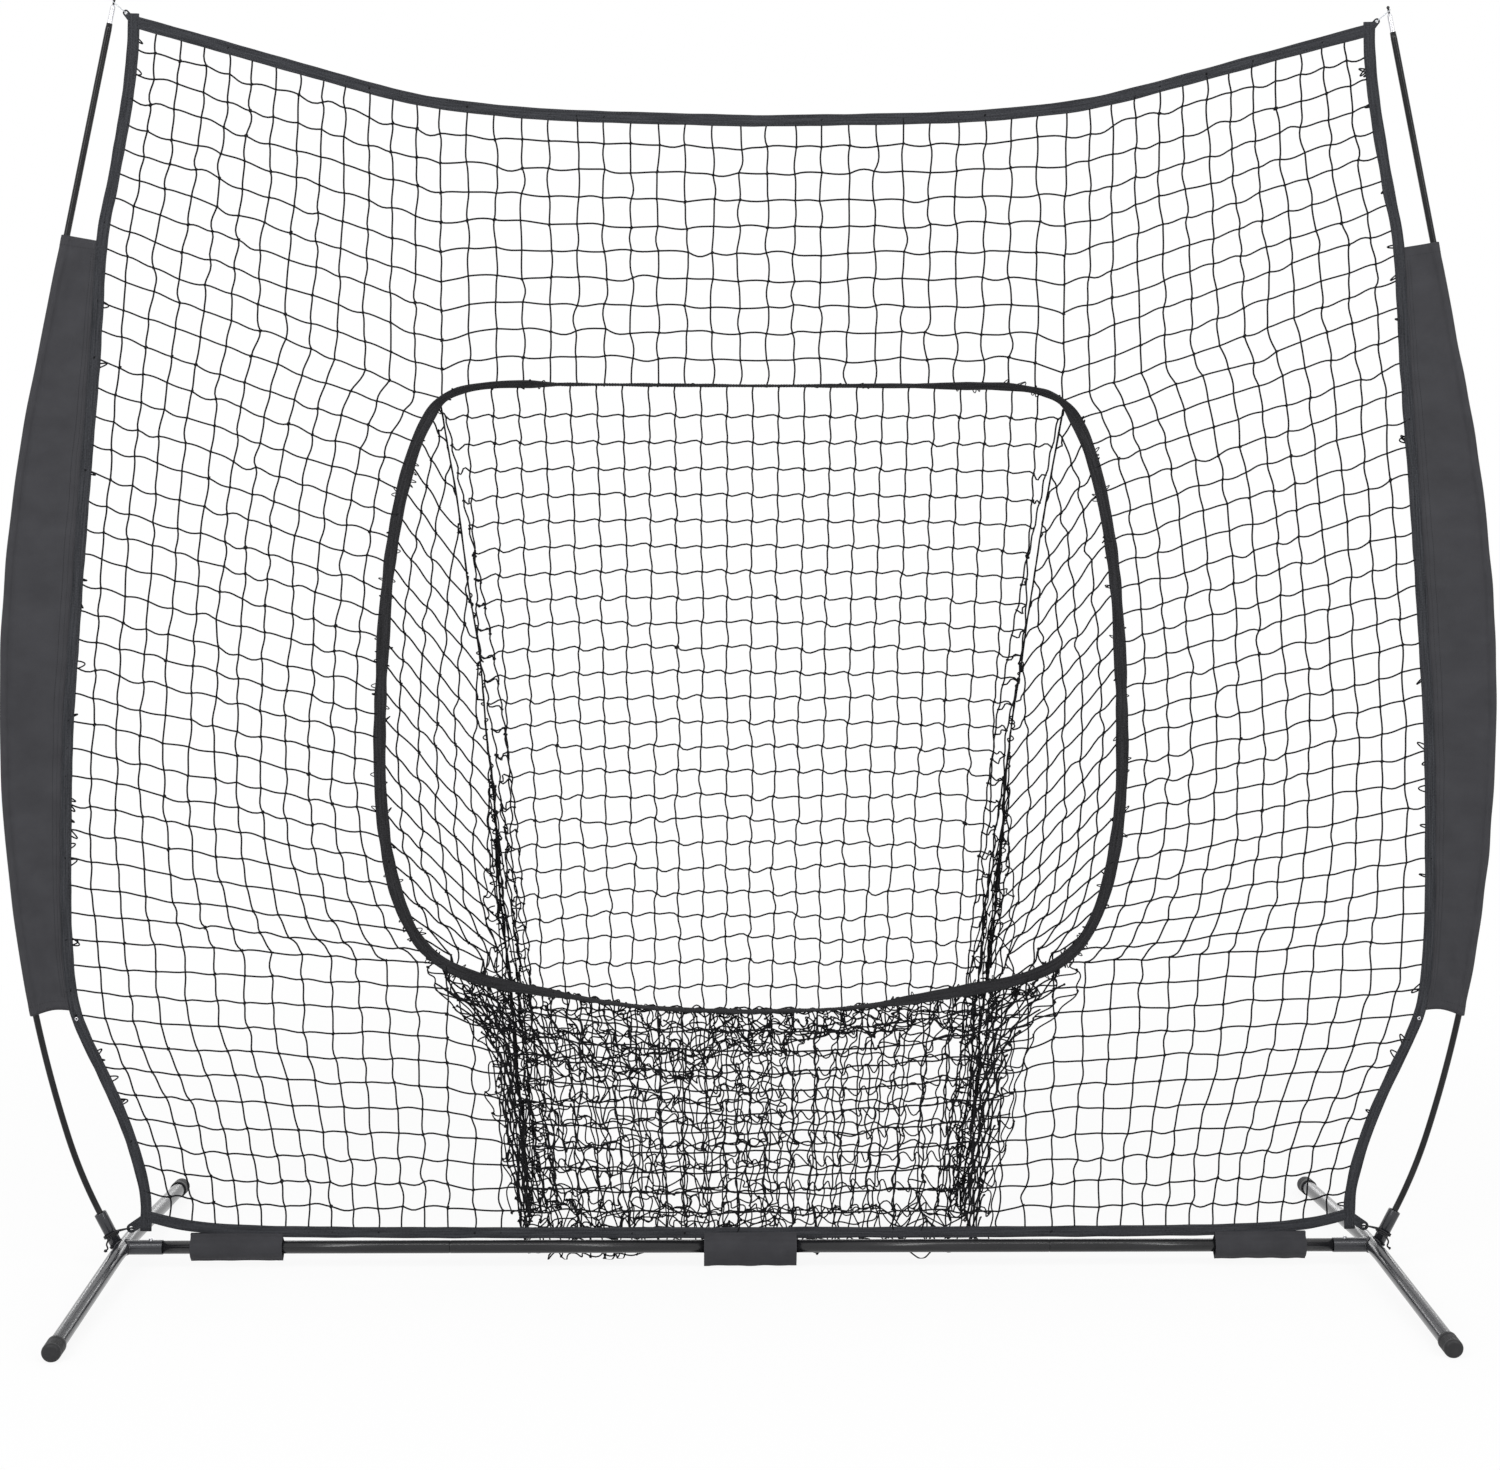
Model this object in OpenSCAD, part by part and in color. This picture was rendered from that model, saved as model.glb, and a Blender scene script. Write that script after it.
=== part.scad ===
// Bow-frame pitching target net: a knock-down tube base, two sprung fibreglass poles,
// and a square-mesh net with a target opening and a hanging catch pocket behind it.
// Frame: X across the net, -Y towards the thrower, +Z up, origin on the floor at the middle.

/* [Base tubes] */
// Distance from the middle to each leg tube's axis
leg_x = 1052; // [1040:1:1060]
// Height of the leg tube's raised middle and of the cross tube's axis
tube_z = 36; // [34:1:40]
// Leg tube outside diameter
leg_d = 25; // [24:0.5:26]
// Cross tube outside diameter
cross_d = 22; // [21:0.5:22]
// Wall of every steel tube
tube_wall = 1.2; // [1:0.1:1.4]
// Distance from the cross tube to the middle of a foot cap
foot_y = 455; // [400:5:480]
// Outside diameter of a foot cap
cap_d = 30; // [29:0.5:32]
// Length of a foot cap
cap_len = 38; // [30:1:45]
// Length of each of the two inner cross tubes
inner_tube_len = 505; // [480:5:520]
// Length of a reduced tube end inside the next tube
spigot_len = 42; // [30:1:60]
// Where the leg's stub ends and the cross tube goes in
stub_end_x = 986; // [980:1:990]
// Diameter of a snap button
button_d = 6.6; // [6:0.2:7]
// Travel of a snap button when it is pressed
button_travel = 5.2; // [5:0.1:5.5]

/* [Poles] */
// Pole outside diameter
pole_d = 10.5; // [9:0.5:11]
// Outward lean of the sockets and of the poles where they enter them
socket_lean = 26; // [25:0.5:27]
// Outside diameter of a pole socket
socket_d = 21; // [20.6:0.2:22]
// Inside diameter of a pole socket, with room for the pole to tip
socket_bore = 16.8; // [16.6:0.2:17.4]
// Distance from the middle to the pole at the mouth of its socket
mouth_x = 1090; // [1086:1:1094]
// Height of the socket's mouth
mouth_z = 95; // [92:1:98]
// Length of a lower pole section, measured along the pole from the mouth
lower_section = 1010; // [900:10:1200]
// Length of a pole ferrule
ferrule_len = 90; // [60:5:120]

/* [Net] */
// Width of the webbing that binds the net's edges
binding_w = 19; // [17:0.5:21]
// Thickness of the folded webbing
binding_t = 4; // [3:0.5:5]
// Width of the webbing round the target opening
ring_w = 17; // [14:0.5:20]
// Width of a net strand in this coarse net
strand_w = 4; // [3:0.5:5]
// Thickness of a net strand
strand_t = 2; // [1.6:0.2:2.4]
// Half the width of the middle net panels
panel_x = 508; // [500:1:512]
// Gaps across and up the middle panel over the opening
upper_cells = [8, 4];
// Gaps across and up the middle panel under the opening
lower_cells = [8, 3];
// Gaps across and up each side panel
side_cells = [5, 14];

/* [Side sleeves and cuffs] */
// Heights of a sleeve's lower and upper end
sleeve_z = [434, 1708];
// Radius of the sleeve's tunnel round the pole
tunnel_r = 7.6; // [7.5:0.1:8]
// Radius of the sleeve's outside round the pole
sleeve_r = 9.4; // [9.2:0.1:10]
// From and to, across, of the outer cuffs
side_cuff_x = [785, 939];
// Half the width of the middle cuff
mid_cuff_x = 78; // [60:1:90]
// Lowest point of the outer cuffs
side_cuff_z = 12; // [10:1:16]
// Lowest point of the middle cuff
mid_cuff_z = 1.5; // [1:0.5:4]

/* [Pocket] */
// How far the pocket's back stands behind the net at the floor
pocket_depth = 290; // [250:5:320]
// Height of the pocket's bottom over the floor
pocket_z = 14; // [12:1:20]
// Gap between the net's plane and the pocket's front edges
pocket_gap = 8; // [6:1:10]
// Gaps across and down the pocket's back
back_cells = [8, 10];
// Gaps across and down the pocket's apron
apron_cells = [8, 3];
// Gaps from front to back and down each gusset
gusset_cells = [2, 7];
// Radius of a gathered pocket seam
seam_r = 5; // [4:0.5:6]

/* [Hidden] */
$fn = 48;

steel = "#26272b";
chrome = "#c9ccd1";
plastic = "#1a1a1c";
webbing = "#38393d";
cloth = "#414246";
twine = "#17171a";
clear_line = "#d8dadd";

leg_r = leg_d / 2;
cross_r = cross_d / 2;
bore_r = cross_r - tube_wall;
stub_bore_r = cross_r + 0.1;
stub_r = leg_r - 0.3; // a little under the leg's radius, so that it saddles cleanly
spigot_r = bore_r - 0.1;
slide_gap = 0.08; // radial room round a pressed button
button_r = button_d / 2;
button_x = 1006;
// A pressed button ends 0.4 inside the stub's bore.
button_stand = button_travel - (leg_r - stub_bore_r) - 0.4;
saddle_half = 45; // straight middle of a leg tube, each way
bend_len = 30;
foot_axis_z = cap_d / 2 - 0.4; // the cap is cut flat at the floor
leg_slope = atan((tube_z - foot_axis_z) / (foot_y - saddle_half - bend_len / 2));
bend_r = bend_len / (leg_slope * PI / 180);

// ---------------------------------------------------------------- curves in the net's plane

function sum(v, i = 0, s = 0) = i == len(v) ? s : sum(v, i + 1, s + v[i]);
function mix(a, b, t) = a + (b - a) * t;

// A smooth line through hand-set points, k steps to each gap between two of them.
function smooth(p, k = 3) = let (n = len(p)) concat(
  [for (i = [0 : n - 2]) for (j = [0 : k - 1]) let (
    t = j / k,
    a = p[max(i - 1, 0)], b = p[i], c = p[i + 1], d = p[min(i + 2, n - 1)]
  ) 0.5 * (2 * b + (c - a) * t + (2 * a - 5 * b + 4 * c - d) * t * t
           + (3 * b - a - 3 * c + d) * t * t * t)],
  [p[n - 1]]);

function heading(p, i) = let (v = p[min(i + 1, len(p) - 1)] - p[max(i - 1, 0)]) v / norm(v);
function shifted(p, by) = [for (i = [0 : len(p) - 1])
  let (h = heading(p, i)) p[i] + by * [h[1], -h[0]]];
function flipped(p) = [for (i = [len(p) - 1 : -1 : 0]) [-p[i][0], p[i][1]]];
function both_sides(p) = concat(flipped(p), [for (i = [1 : len(p) - 1]) p[i]]);
function strip(p, w) = let (a = shifted(p, w / 2), b = shifted(p, -w / 2))
  concat(a, [for (i = [len(b) - 1 : -1 : 0]) b[i]]);

// Middle lines of the bindings, on the +X half.
top_line = smooth([[0, 1900], [300, 1907], [450, 1918], [560, 1934], [700, 1970], [850, 2011],
  [1005, 2053]]);
bottom_line = smooth([[0, 59], [500, 60], [800, 63], [935, 72], [1014, 90]]);
side_line = smooth([[1014, 64], [1014, 125], [1028, 192], [1051, 262], [1082, 335],
  [1108, 392], [1128, 455], [1136, 560], [1135, 700], [1128, 893], [1112, 1090], [1092, 1310],
  [1073, 1500], [1056, 1703], [1036, 1800], [1012, 1925], [1001, 2010], [999, 2064]], 2);
ring_line = smooth([[0, 1474], [300, 1475], [430, 1473], [500, 1455], [535, 1412], [562, 1345],
  [585, 1250], [602, 1130], [613, 960], [615, 820], [604, 700], [578, 602], [535, 535],
  [460, 494], [330, 467], [170, 443], [0, 436]], 2);

top_full = both_sides(top_line);
bottom_full = both_sides(bottom_line);
ring_full = concat(ring_line, [for (i = [len(ring_line) - 2 : -1 : 1])
  [-ring_line[i][0], ring_line[i][1]]]);

function height_at(line, x) = lookup(x, line);
function across_at(line, z) = lookup(z, [for (p = line) [p[1], p[0]]]);
ring_top = [for (p = ring_line) if (p[1] > 900 && p[0] <= panel_x + 60) p];
ring_low = [for (i = [len(ring_line) - 1 : -1 : 0]) if (ring_line[i][1] < 560) ring_line[i]];
function inner_edge(z) = max(panel_x, across_at(ring_line, z));

// ---------------------------------------------------------------- netting

seam_hem = strand_w / 2; // half a strand where two panels meet
bound_hem = 0.5; // almost none where the webbing holds the edge
middle_hem = [seam_hem, seam_hem, bound_hem, bound_hem];
side_hem = [seam_hem, bound_hem, bound_hem, bound_hem];

// Side panel: between the middle panels or the opening and the side binding.
function side_point(u, v) = let (
  z_in = mix(height_at(bottom_line, panel_x), height_at(top_line, panel_x), v),
  z_out = mix(bottom_line[len(bottom_line) - 1][1], top_line[len(top_line) - 1][1], v),
  a = [inner_edge(z_in), z_in],
  b = [across_at(side_line, z_out), z_out],
  x_low = mix(panel_x, 1014, u),
  x_top = mix(panel_x, 1000, u),
  straight_low = mix(height_at(bottom_line, panel_x), bottom_line[len(bottom_line) - 1][1], u),
  straight_top = mix(height_at(top_line, panel_x), top_line[len(top_line) - 1][1], u),
  bow_low = height_at(bottom_line, x_low) - straight_low,
  bow_top = height_at(top_line, x_top) - straight_top
) mix(a, b, u) + [0, mix(bow_low, bow_top, v)];

function upper_point(u, v) = let (x = mix(-panel_x, panel_x, u))
  [x, mix(height_at(ring_top, abs(x)), height_at(top_line, abs(x)), v)];
function lower_point(u, v) = let (x = mix(-panel_x, panel_x, u))
  [x, mix(height_at(bottom_line, abs(x)), height_at(ring_low, abs(x)), v)];

// The gaps of a net with n[0] by n[1] cells; f(u, v) places its knots.
// hem is the strand that is left along the net's left, right, low and high edges.
function gap(f, n, i, j, hem) = let (
  p = [f(i / n[0], j / n[1]), f((i + 1) / n[0], j / n[1]),
       f((i + 1) / n[0], (j + 1) / n[1]), f(i / n[0], (j + 1) / n[1])],
  half = strand_w / 2,
  wide = norm(p[1] - p[0]), tall = norm(p[3] - p[0]),
  u0 = (i == 0 ? hem[0] : half) / wide,
  u1 = 1 - (i == n[0] - 1 ? hem[1] : half) / wide,
  v0 = (j == 0 ? hem[2] : half) / tall,
  v1 = 1 - (j == n[1] - 1 ? hem[3] : half) / tall,
  at = function (u, v) mix(mix(p[0], p[1], u), mix(p[3], p[2], u), v)
) [at(u0, v0), at(u1, v0), at(u1, v1), at(u0, v1)];

function edge(f, n, k) = concat(
  [for (i = [0 : n[0] * k - 1]) f(i / n[0] / k, 0)],
  [for (j = [0 : n[1] * k - 1]) f(1, j / n[1] / k)],
  [for (i = [n[0] * k : -1 : 1]) f(i / n[0] / k, 1)],
  [for (j = [n[1] * k : -1 : 1]) f(0, j / n[1] / k)]);

module flat_net(f, n, hem, k = 2) {
  outline = edge(f, n, k);
  gaps = [for (i = [0 : n[0] - 1]) for (j = [0 : n[1] - 1]) gap(f, n, i, j, hem)];
  first = len(outline);
  polygon(
    concat(outline, [for (g = gaps) each g]),
    concat([[for (i = [0 : first - 1]) i]],
           [for (g = [0 : len(gaps) - 1]) [for (c = [0 : 3]) first + g * 4 + c]]));
}

// A curved net: g(u, v) is a point in space and d(u, v) the way its thickness goes.
module curved_net(g, d, n, w, t) {
  cols = n[0] + 1;
  rows = n[1] + 1;
  knots = [for (s = [-1, 1]) for (j = [0 : n[1]]) for (i = [0 : n[0]])
    g(i / n[0], j / n[1]) + s * t / 2 * d(i / n[0], j / n[1])];
  gap_points = [for (s = [-1, 1]) for (j = [0 : n[1] - 1]) for (i = [0 : n[0] - 1]) let (
      at = function (a, b) g((i + a) / n[0], (j + b) / n[1]),
      mid_d = d((i + 0.5) / n[0], (j + 0.5) / n[1]),
      p = [at(0, 0), at(1, 0), at(1, 1), at(0, 1)],
      du = w / 2 / max(norm(p[1] - p[0]), norm(p[2] - p[3])),
      dv = w / 2 / norm(p[3] - p[0])
    ) for (q = [[du, dv], [1 - du, dv], [1 - du, 1 - dv], [du, 1 - dv]])
      mix(mix(p[0], p[1], q[0]), mix(p[3], p[2], q[0]), q[1]) + s * t / 2 * mid_d];
  half = cols * rows;
  cells = n[0] * n[1];
  function knot(s, i, j) = s * half + j * cols + i;
  function hole(s, i, j, c) = 2 * half + s * cells * 4 + (j * n[0] + i) * 4 + c;
  function turn(q, s) = s == 0 ? q : [q[2], q[1], q[0]];
  function quad(a, b, c, e, s) = [turn([a, b, c], s), turn([a, c, e], s)];
  faces = concat(
    [for (s = [0, 1]) for (j = [0 : n[1] - 1]) for (i = [0 : n[0] - 1]) let (
        k = [knot(s, i, j), knot(s, i + 1, j), knot(s, i + 1, j + 1), knot(s, i, j + 1)],
        h = [for (c = [0 : 3]) hole(s, i, j, c)]
      ) for (c = [0 : 3]) each quad(k[c], k[(c + 1) % 4], h[(c + 1) % 4], h[c], s)],
    [for (j = [0 : n[1] - 1]) for (i = [0 : n[0] - 1]) for (c = [0 : 3])
      each quad(hole(0, i, j, c), hole(0, i, j, (c + 1) % 4),
                hole(1, i, j, (c + 1) % 4), hole(1, i, j, c), 0)],
    [for (i = [0 : n[0] - 1])
      each quad(knot(1, i, 0), knot(1, i + 1, 0), knot(0, i + 1, 0), knot(0, i, 0), 0)],
    [for (i = [0 : n[0] - 1]) each quad(
      knot(0, i, n[1]), knot(0, i + 1, n[1]), knot(1, i + 1, n[1]), knot(1, i, n[1]), 0)],
    [for (j = [0 : n[1] - 1])
      each quad(knot(0, 0, j), knot(0, 0, j + 1), knot(1, 0, j + 1), knot(1, 0, j), 0)],
    [for (j = [0 : n[1] - 1]) each quad(
      knot(1, n[0], j), knot(1, n[0], j + 1), knot(0, n[0], j + 1), knot(0, n[0], j), 0)]);
  polyhedron(concat(knots, gap_points), faces);
}

module in_net_plane(t) {
  translate([0, t / 2, 0]) rotate([90, 0, 0]) linear_extrude(t) children();
}

module side_binding_shape() {
  polygon(strip(side_line, binding_w));
}

module both_side_bindings_shape() {
  side_binding_shape();
  mirror([1, 0]) side_binding_shape();
}

module top_binding_shape() {
  polygon(strip(top_full, binding_w));
}

module bottom_binding_shape() {
  polygon(strip(bottom_full, binding_w));
}

module opening_binding_shape() {
  difference() {
    polygon(shifted_ring(ring_w / 2));
    polygon(shifted_ring(-ring_w / 2));
  }
}

function shifted_ring(by) = let (n = len(ring_full)) [for (i = [0 : n - 1]) let (
  v = ring_full[(i + 1) % n] - ring_full[(i + n - 1) % n], h = v / norm(v)
) ring_full[i] + by * [-h[1], h[0]]];

module inside_bindings() {
  difference() {
    children();
    both_side_bindings_shape();
    top_binding_shape();
    bottom_binding_shape();
    polygon(shifted_ring(ring_w / 2));
  }
}

// ---------------------------------------------------------------- mirrored pairs

module left_of() {
  mirror([1, 0, 0]) children();
}

// ---------------------------------------------------------------- base

module leg_path(r) {
  rotate([90, 0, 0]) cylinder(r = r, h = 2 * saddle_half, center = true);
  for (way = [0, 180]) rotate([0, 0, way]) translate([0, saddle_half, 0]) {
    // the bend turns down round a centre below the tube
    translate([0, 0, -bend_r]) rotate([90, 0, 90]) rotate([0, 0, 90 - leg_slope])
      rotate_extrude(angle = leg_slope, $fn = 96) translate([bend_r, 0]) circle(r);
    translate([0, bend_r * sin(leg_slope), -bend_r * (1 - cos(leg_slope))])
      rotate([-90 - leg_slope, 0, 0])
        cylinder(r = r, h = (foot_y - saddle_half - bend_len) / cos(leg_slope));
  }
}

module leg_tube() {
  color(steel) translate([leg_x, 0, tube_z]) difference() {
    leg_path(leg_r);
    leg_path(leg_r - tube_wall);
  }
}

// A cup over the tube's end, round-nosed and flat where it stands.
module foot_cap(side, way) {
  color(plastic) intersection() {
    translate([side * leg_x, way * foot_y, foot_axis_z]) rotate([0, 0, way > 0 ? 0 : 180])
      rotate([-90 - leg_slope, 0, 0]) translate([0, 0, -cap_len / 2]) difference() {
        rotate_extrude($fn = 64) difference() {
          union() {
            square([cap_d / 2, cap_len - 6]);
            translate([0, cap_len - 6]) square([cap_d / 2 - 6, 6]);
            translate([cap_d / 2 - 6, cap_len - 6]) circle(6);
          }
          translate([-cap_d, -1]) square([cap_d, cap_len + 9]);
        }
        translate([0, 0, -1]) cylinder(r = leg_r + 0.05, h = cap_len / 2 + 1.2);
      }
    translate([side * leg_x - 50, way * foot_y - 50, 0]) cube([100, 100, 100]);
  }
}

module stub() {
  color(steel) difference() {
    translate([stub_end_x, 0, tube_z]) rotate([0, 90, 0])
      cylinder(r = stub_r, h = leg_x - stub_end_x);
    translate([stub_end_x - 1, 0, tube_z]) rotate([0, 90, 0])
      cylinder(r = stub_bore_r, h = leg_x - stub_end_x + 2);
    translate([leg_x, 0, tube_z]) rotate([90, 0, 0])
      cylinder(r = leg_r, h = 4 * leg_r, center = true);
    translate([button_x, 0, tube_z]) cylinder(r = button_r + slide_gap, h = 2 * leg_r);
  }
}

module at_mouth() {
  translate([mouth_x, 0, mouth_z]) rotate([0, socket_lean, 0]) children();
}

module pole_socket() {
  socket_len = 68;
  color(steel) difference() {
    at_mouth() translate([0, 0, -socket_len]) difference() {
      cylinder(r = socket_d / 2, h = socket_len);
      translate([0, 0, -1]) cylinder(r = socket_bore / 2, h = socket_len + 2);
    }
    translate([leg_x, 0, tube_z]) rotate([90, 0, 0])
      cylinder(r = leg_r, h = 6 * leg_r, center = true);
    translate([leg_x - 40, -40, -60]) cube([80, 80, 60 + tube_z]);
  }
}

module tube_along_x(from, to, r_out, r_in) {
  translate([from, 0, tube_z]) rotate([0, 90, 0]) difference() {
    cylinder(r = r_out, h = to - from);
    translate([0, 0, -1]) cylinder(r = r_in, h = to - from + 2);
  }
}

// A tube with its low-X end reduced to go inside the next tube.
module swaged_tube(from, to) {
  shoulder = 4;
  translate([from, 0, tube_z]) rotate([0, 90, 0]) difference() {
    union() {
      cylinder(r = cross_r, h = to - from);
      translate([0, 0, -spigot_len]) cylinder(r = spigot_r, h = spigot_len + shoulder);
    }
    translate([0, 0, -spigot_len - 1])
      cylinder(r = spigot_r - tube_wall, h = spigot_len + shoulder + 2);
    translate([0, 0, shoulder]) cylinder(r = bore_r, h = to - from);
  }
}

module outer_cross_tube() {
  color(steel) difference() {
    swaged_tube(inner_tube_len, leg_x - leg_r - 3);
    translate([button_x, 0, tube_z]) cylinder(r = button_r + slide_gap, h = 2 * leg_r);
  }
}

module right_inner_cross_tube() {
  color(steel) swaged_tube(0, inner_tube_len - 0.05);
}

module left_inner_cross_tube() {
  color(steel) tube_along_x(-inner_tube_len + 0.05, -0.05, cross_r, bore_r);
}

button_base = 5.6; // height of a button's flange over the tube's axis

module snap_button() {
  dome_r = 6;
  color(chrome) translate([button_x, 0, tube_z]) {
    translate([0, 0, button_base]) cylinder(r = button_r + 0.9, h = 1.2);
    intersection() {
      translate([0, 0, button_base]) cylinder(r = button_r, h = leg_r);
      translate([0, 0, leg_r + button_stand - dome_r]) sphere(r = dome_r, $fn = 64);
    }
  }
}

// A V of flat spring under the button, its closed end towards the middle.
module button_spring() {
  width = 6;
  low = -sqrt(bore_r * bore_r - width * width / 4) + 0.03; // on the tube's bottom
  high = button_base - 0.05;
  thick = 0.6;
  color(chrome) translate([button_x, width / 2, tube_z]) rotate([90, 0, 0])
    linear_extrude(width) polygon([
      [4, high], [-4, high], [-34, low + thick], [-34, low], [4, low], [4, low + thick],
      [-32, low + thick], [-4, high - thick], [4, high - thick]]);
}

// ---------------------------------------------------------------- poles

// Stretches of a pole up from its socket's mouth: length along it, and how far it turns in.
pole_runs = [[140, 9.7], [400, 10.5], [860, 18.4], [633, 0]];
pole_in_socket = 50;
pole_len = sum([for (r = pole_runs) r[0]]);

function run_from(k) = sum([for (i = [0 : 1 : k - 1]) pole_runs[i][0]]);
function lean_at(k) = socket_lean - sum([for (i = [0 : 1 : k - 1]) pole_runs[i][1]]);
function run_r(k) = pole_runs[k][0] / (pole_runs[k][1] * PI / 180);
function after(p, k) = let (a = lean_at(k), t = pole_runs[k][1])
  t == 0 ? p + pole_runs[k][0] * [sin(a), cos(a)]
         : p + run_r(k) * [cos(a - t) - cos(a), sin(a) - sin(a - t)];
function start_of(k) = k == 0 ? [mouth_x, mouth_z] : after(start_of(k - 1), k - 1);

// Place and lean of the pole at a distance along it from the mouth.
function run_of(s) = max([for (k = [0 : len(pole_runs) - 1]) s >= run_from(k) ? k : 0]);
function pole_at(s) = s <= 0 ? [mouth_x, mouth_z] + s * [sin(socket_lean), cos(socket_lean)] :
  let (k = run_of(s), a = lean_at(k), ds = s - run_from(k),
       t = pole_runs[k][1] * ds / pole_runs[k][0], p = start_of(k))
  pole_runs[k][1] == 0 ? p + ds * [sin(a), cos(a)]
                       : p + run_r(k) * [cos(a - t) - cos(a), sin(a) - sin(a - t)];
function pole_lean(s) = s <= 0 ? socket_lean :
  let (k = run_of(s)) lean_at(k) - pole_runs[k][1] * (s - run_from(k)) / pole_runs[k][0];

module on_pole(s) {
  p = pole_at(s);
  translate([p[0], 0, p[1]]) rotate([0, pole_lean(s), 0]) children();
}

// Skin of a tube of n rings, each of the same number of points, that is closed at both ends.
function tube_faces(n, sides) = concat(
  [[for (i = [0 : sides - 1]) i]],
  [[for (i = [sides - 1 : -1 : 0]) (n - 1) * sides + i]],
  [for (k = [0 : n - 2]) for (i = [0 : sides - 1]) let (j = (i + 1) % sides)
    each [[k * sides + i, (k + 1) * sides + i, (k + 1) * sides + j],
          [k * sides + i, (k + 1) * sides + j, k * sides + j]]]);

// A rod along the pole's curve; each station is a distance along it and the radius there.
module rod_through(stations) {
  sides = 16;
  points = [for (q = stations) let (c = pole_at(q[0]), a = pole_lean(q[0]))
    for (i = [0 : sides - 1]) let (t = i * 360 / sides)
      [c[0] + q[1] * cos(t) * cos(a), q[1] * sin(t), c[1] - q[1] * cos(t) * sin(a)]];
  polyhedron(points, tube_faces(len(stations), sides));
}

function even_stations(s0, s1, r) = let (n = ceil((s1 - s0) / 20))
  [for (k = [0 : n]) [mix(s0, s1, k / n), r]];

black_end = pole_len - 43; // where the black pole ends and its bright tip begins
tip_spigot_r = 2.6;
tip_spigot_len = 20;

module lower_pole() {
  color(plastic) rod_through(even_stations(-pole_in_socket, lower_section, pole_d / 2));
}

module upper_pole() {
  color(plastic) rod_through(concat(
    even_stations(lower_section + 0.1, black_end, pole_d / 2),
    [[black_end, tip_spigot_r], [black_end + tip_spigot_len, tip_spigot_r]]));
}

// A bent sleeve over the joint, on the ring that the pole follows there.
module pole_ferrule() {
  s = lower_section - ferrule_len / 2;
  k = run_of(s);
  p = pole_at(s);
  lean = pole_lean(s);
  color(chrome) translate([p[0] - run_r(k) * cos(lean), 0, p[1] + run_r(k) * sin(lean)])
    rotate([90, 0, 0]) rotate([0, 0, -lean])
      rotate_extrude(angle = pole_runs[k][1] * ferrule_len / pole_runs[k][0], $fn = 480)
        translate([run_r(k), 0]) difference() {
          circle(pole_d / 2 + 1);
          circle(pole_d / 2 + 0.05);
        }
}

// A cup over the pole's foot, inside the socket.
module pole_plug() {
  color(plastic) on_pole(-pole_in_socket) difference() {
    translate([0, 0, -3]) cylinder(r = pole_d / 2 + 1.2, h = 19);
    cylinder(r = pole_d / 2 + 0.05, h = 20);
  }
}

module tip_sleeve() {
  color(chrome) on_pole(black_end) difference() {
    union() {
      cylinder(r = 4.1, h = 27);
      translate([0, 0, 27]) cylinder(r1 = 4.1, r2 = 2.2, h = 3);
    }
    translate([0, 0, -1]) cylinder(r = tip_spigot_r + 0.05, h = tip_spigot_len + 1.1);
  }
}

module tip_pin() {
  color(plastic) on_pole(black_end + 30) {
    cylinder(r = 1.7, h = 9);
    translate([0, 0, 10]) sphere(r = 2.6, $fn = 32);
  }
}

module ring_of(ring_r, wire_r) {
  rotate_extrude($fn = 48) translate([ring_r, 0]) circle(wire_r, $fn = 24);
}

tip_hole = [1011, 2065]; // hole in the net's top corner tab
tie_hole = [1038, 69]; // hole in the net's bottom corner tab

// A closed cord through a hole, whose other end goes round a post; both are [x, z] points.
module looped_cord(hole, post, loop_r, wire_r) {
  way = post - hole;
  reach = norm(way) - loop_r;
  translate([hole[0], 0, hole[1]]) rotate([0, -atan2(way[1], way[0]), 0])
    translate([loop_r, 0, 0]) {
      rotate([0, 0, 90]) rotate_extrude(angle = 180, $fn = 48)
        translate([loop_r, 0]) circle(wire_r, $fn = 24);
      for (s = [-1, 1]) translate([0, s * loop_r, 0]) rotate([0, 90, 0])
        cylinder(r = wire_r, h = reach, $fn = 24);
      translate([reach, 0, 0]) rotate([0, 0, -90]) rotate_extrude(angle = 180, $fn = 48)
        translate([loop_r, 0]) circle(wire_r, $fn = 24);
    }
}

// A clear elastic loop from the net's corner to the pin on the pole's tip.
module tip_loop() {
  color(clear_line) looped_cord(tip_hole, pole_at(black_end + 34), 3, 0.9);
}

// ---------------------------------------------------------------- sleeves

// The side binding's outer edge, which the sleeve is sewn to, and a station at each of its bends
binding_edge = shifted(side_line, binding_w / 2);
sleeve_stations = concat([sleeve_z[0]],
  [for (p = binding_edge) if (p[1] > sleeve_z[0] + 1 && p[1] < sleeve_z[1] - 1) p[1]],
  [sleeve_z[1]]);

function sleeve_round(z) = let (
  s = lookup(z, [for (d = [0 : 20 : 2000]) [pole_at(d)[1], d]]),
  c = pole_at(s)[0],
  inner = across_at(binding_edge, z) + 0.05
) concat(
  [[inner, -1.6], [mix(inner, c, 0.55), -3.2]],
  [for (a = [-135, -80, -25, 25, 80, 135]) [c + sleeve_r * cos(a), sleeve_r * sin(a)]],
  [[mix(inner, c, 0.55), 3.2], [inner, 1.6]]);
function tunnel_round(z) = let (
  s = lookup(z, [for (d = [0 : 20 : 2000]) [pole_at(d)[1], d]]),
  c = pole_at(s)[0]
) [for (k = [-4.5 : 1 : 4.5]) [c + tunnel_r * cos(k * 38.2), tunnel_r * sin(k * 38.2)]];

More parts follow.
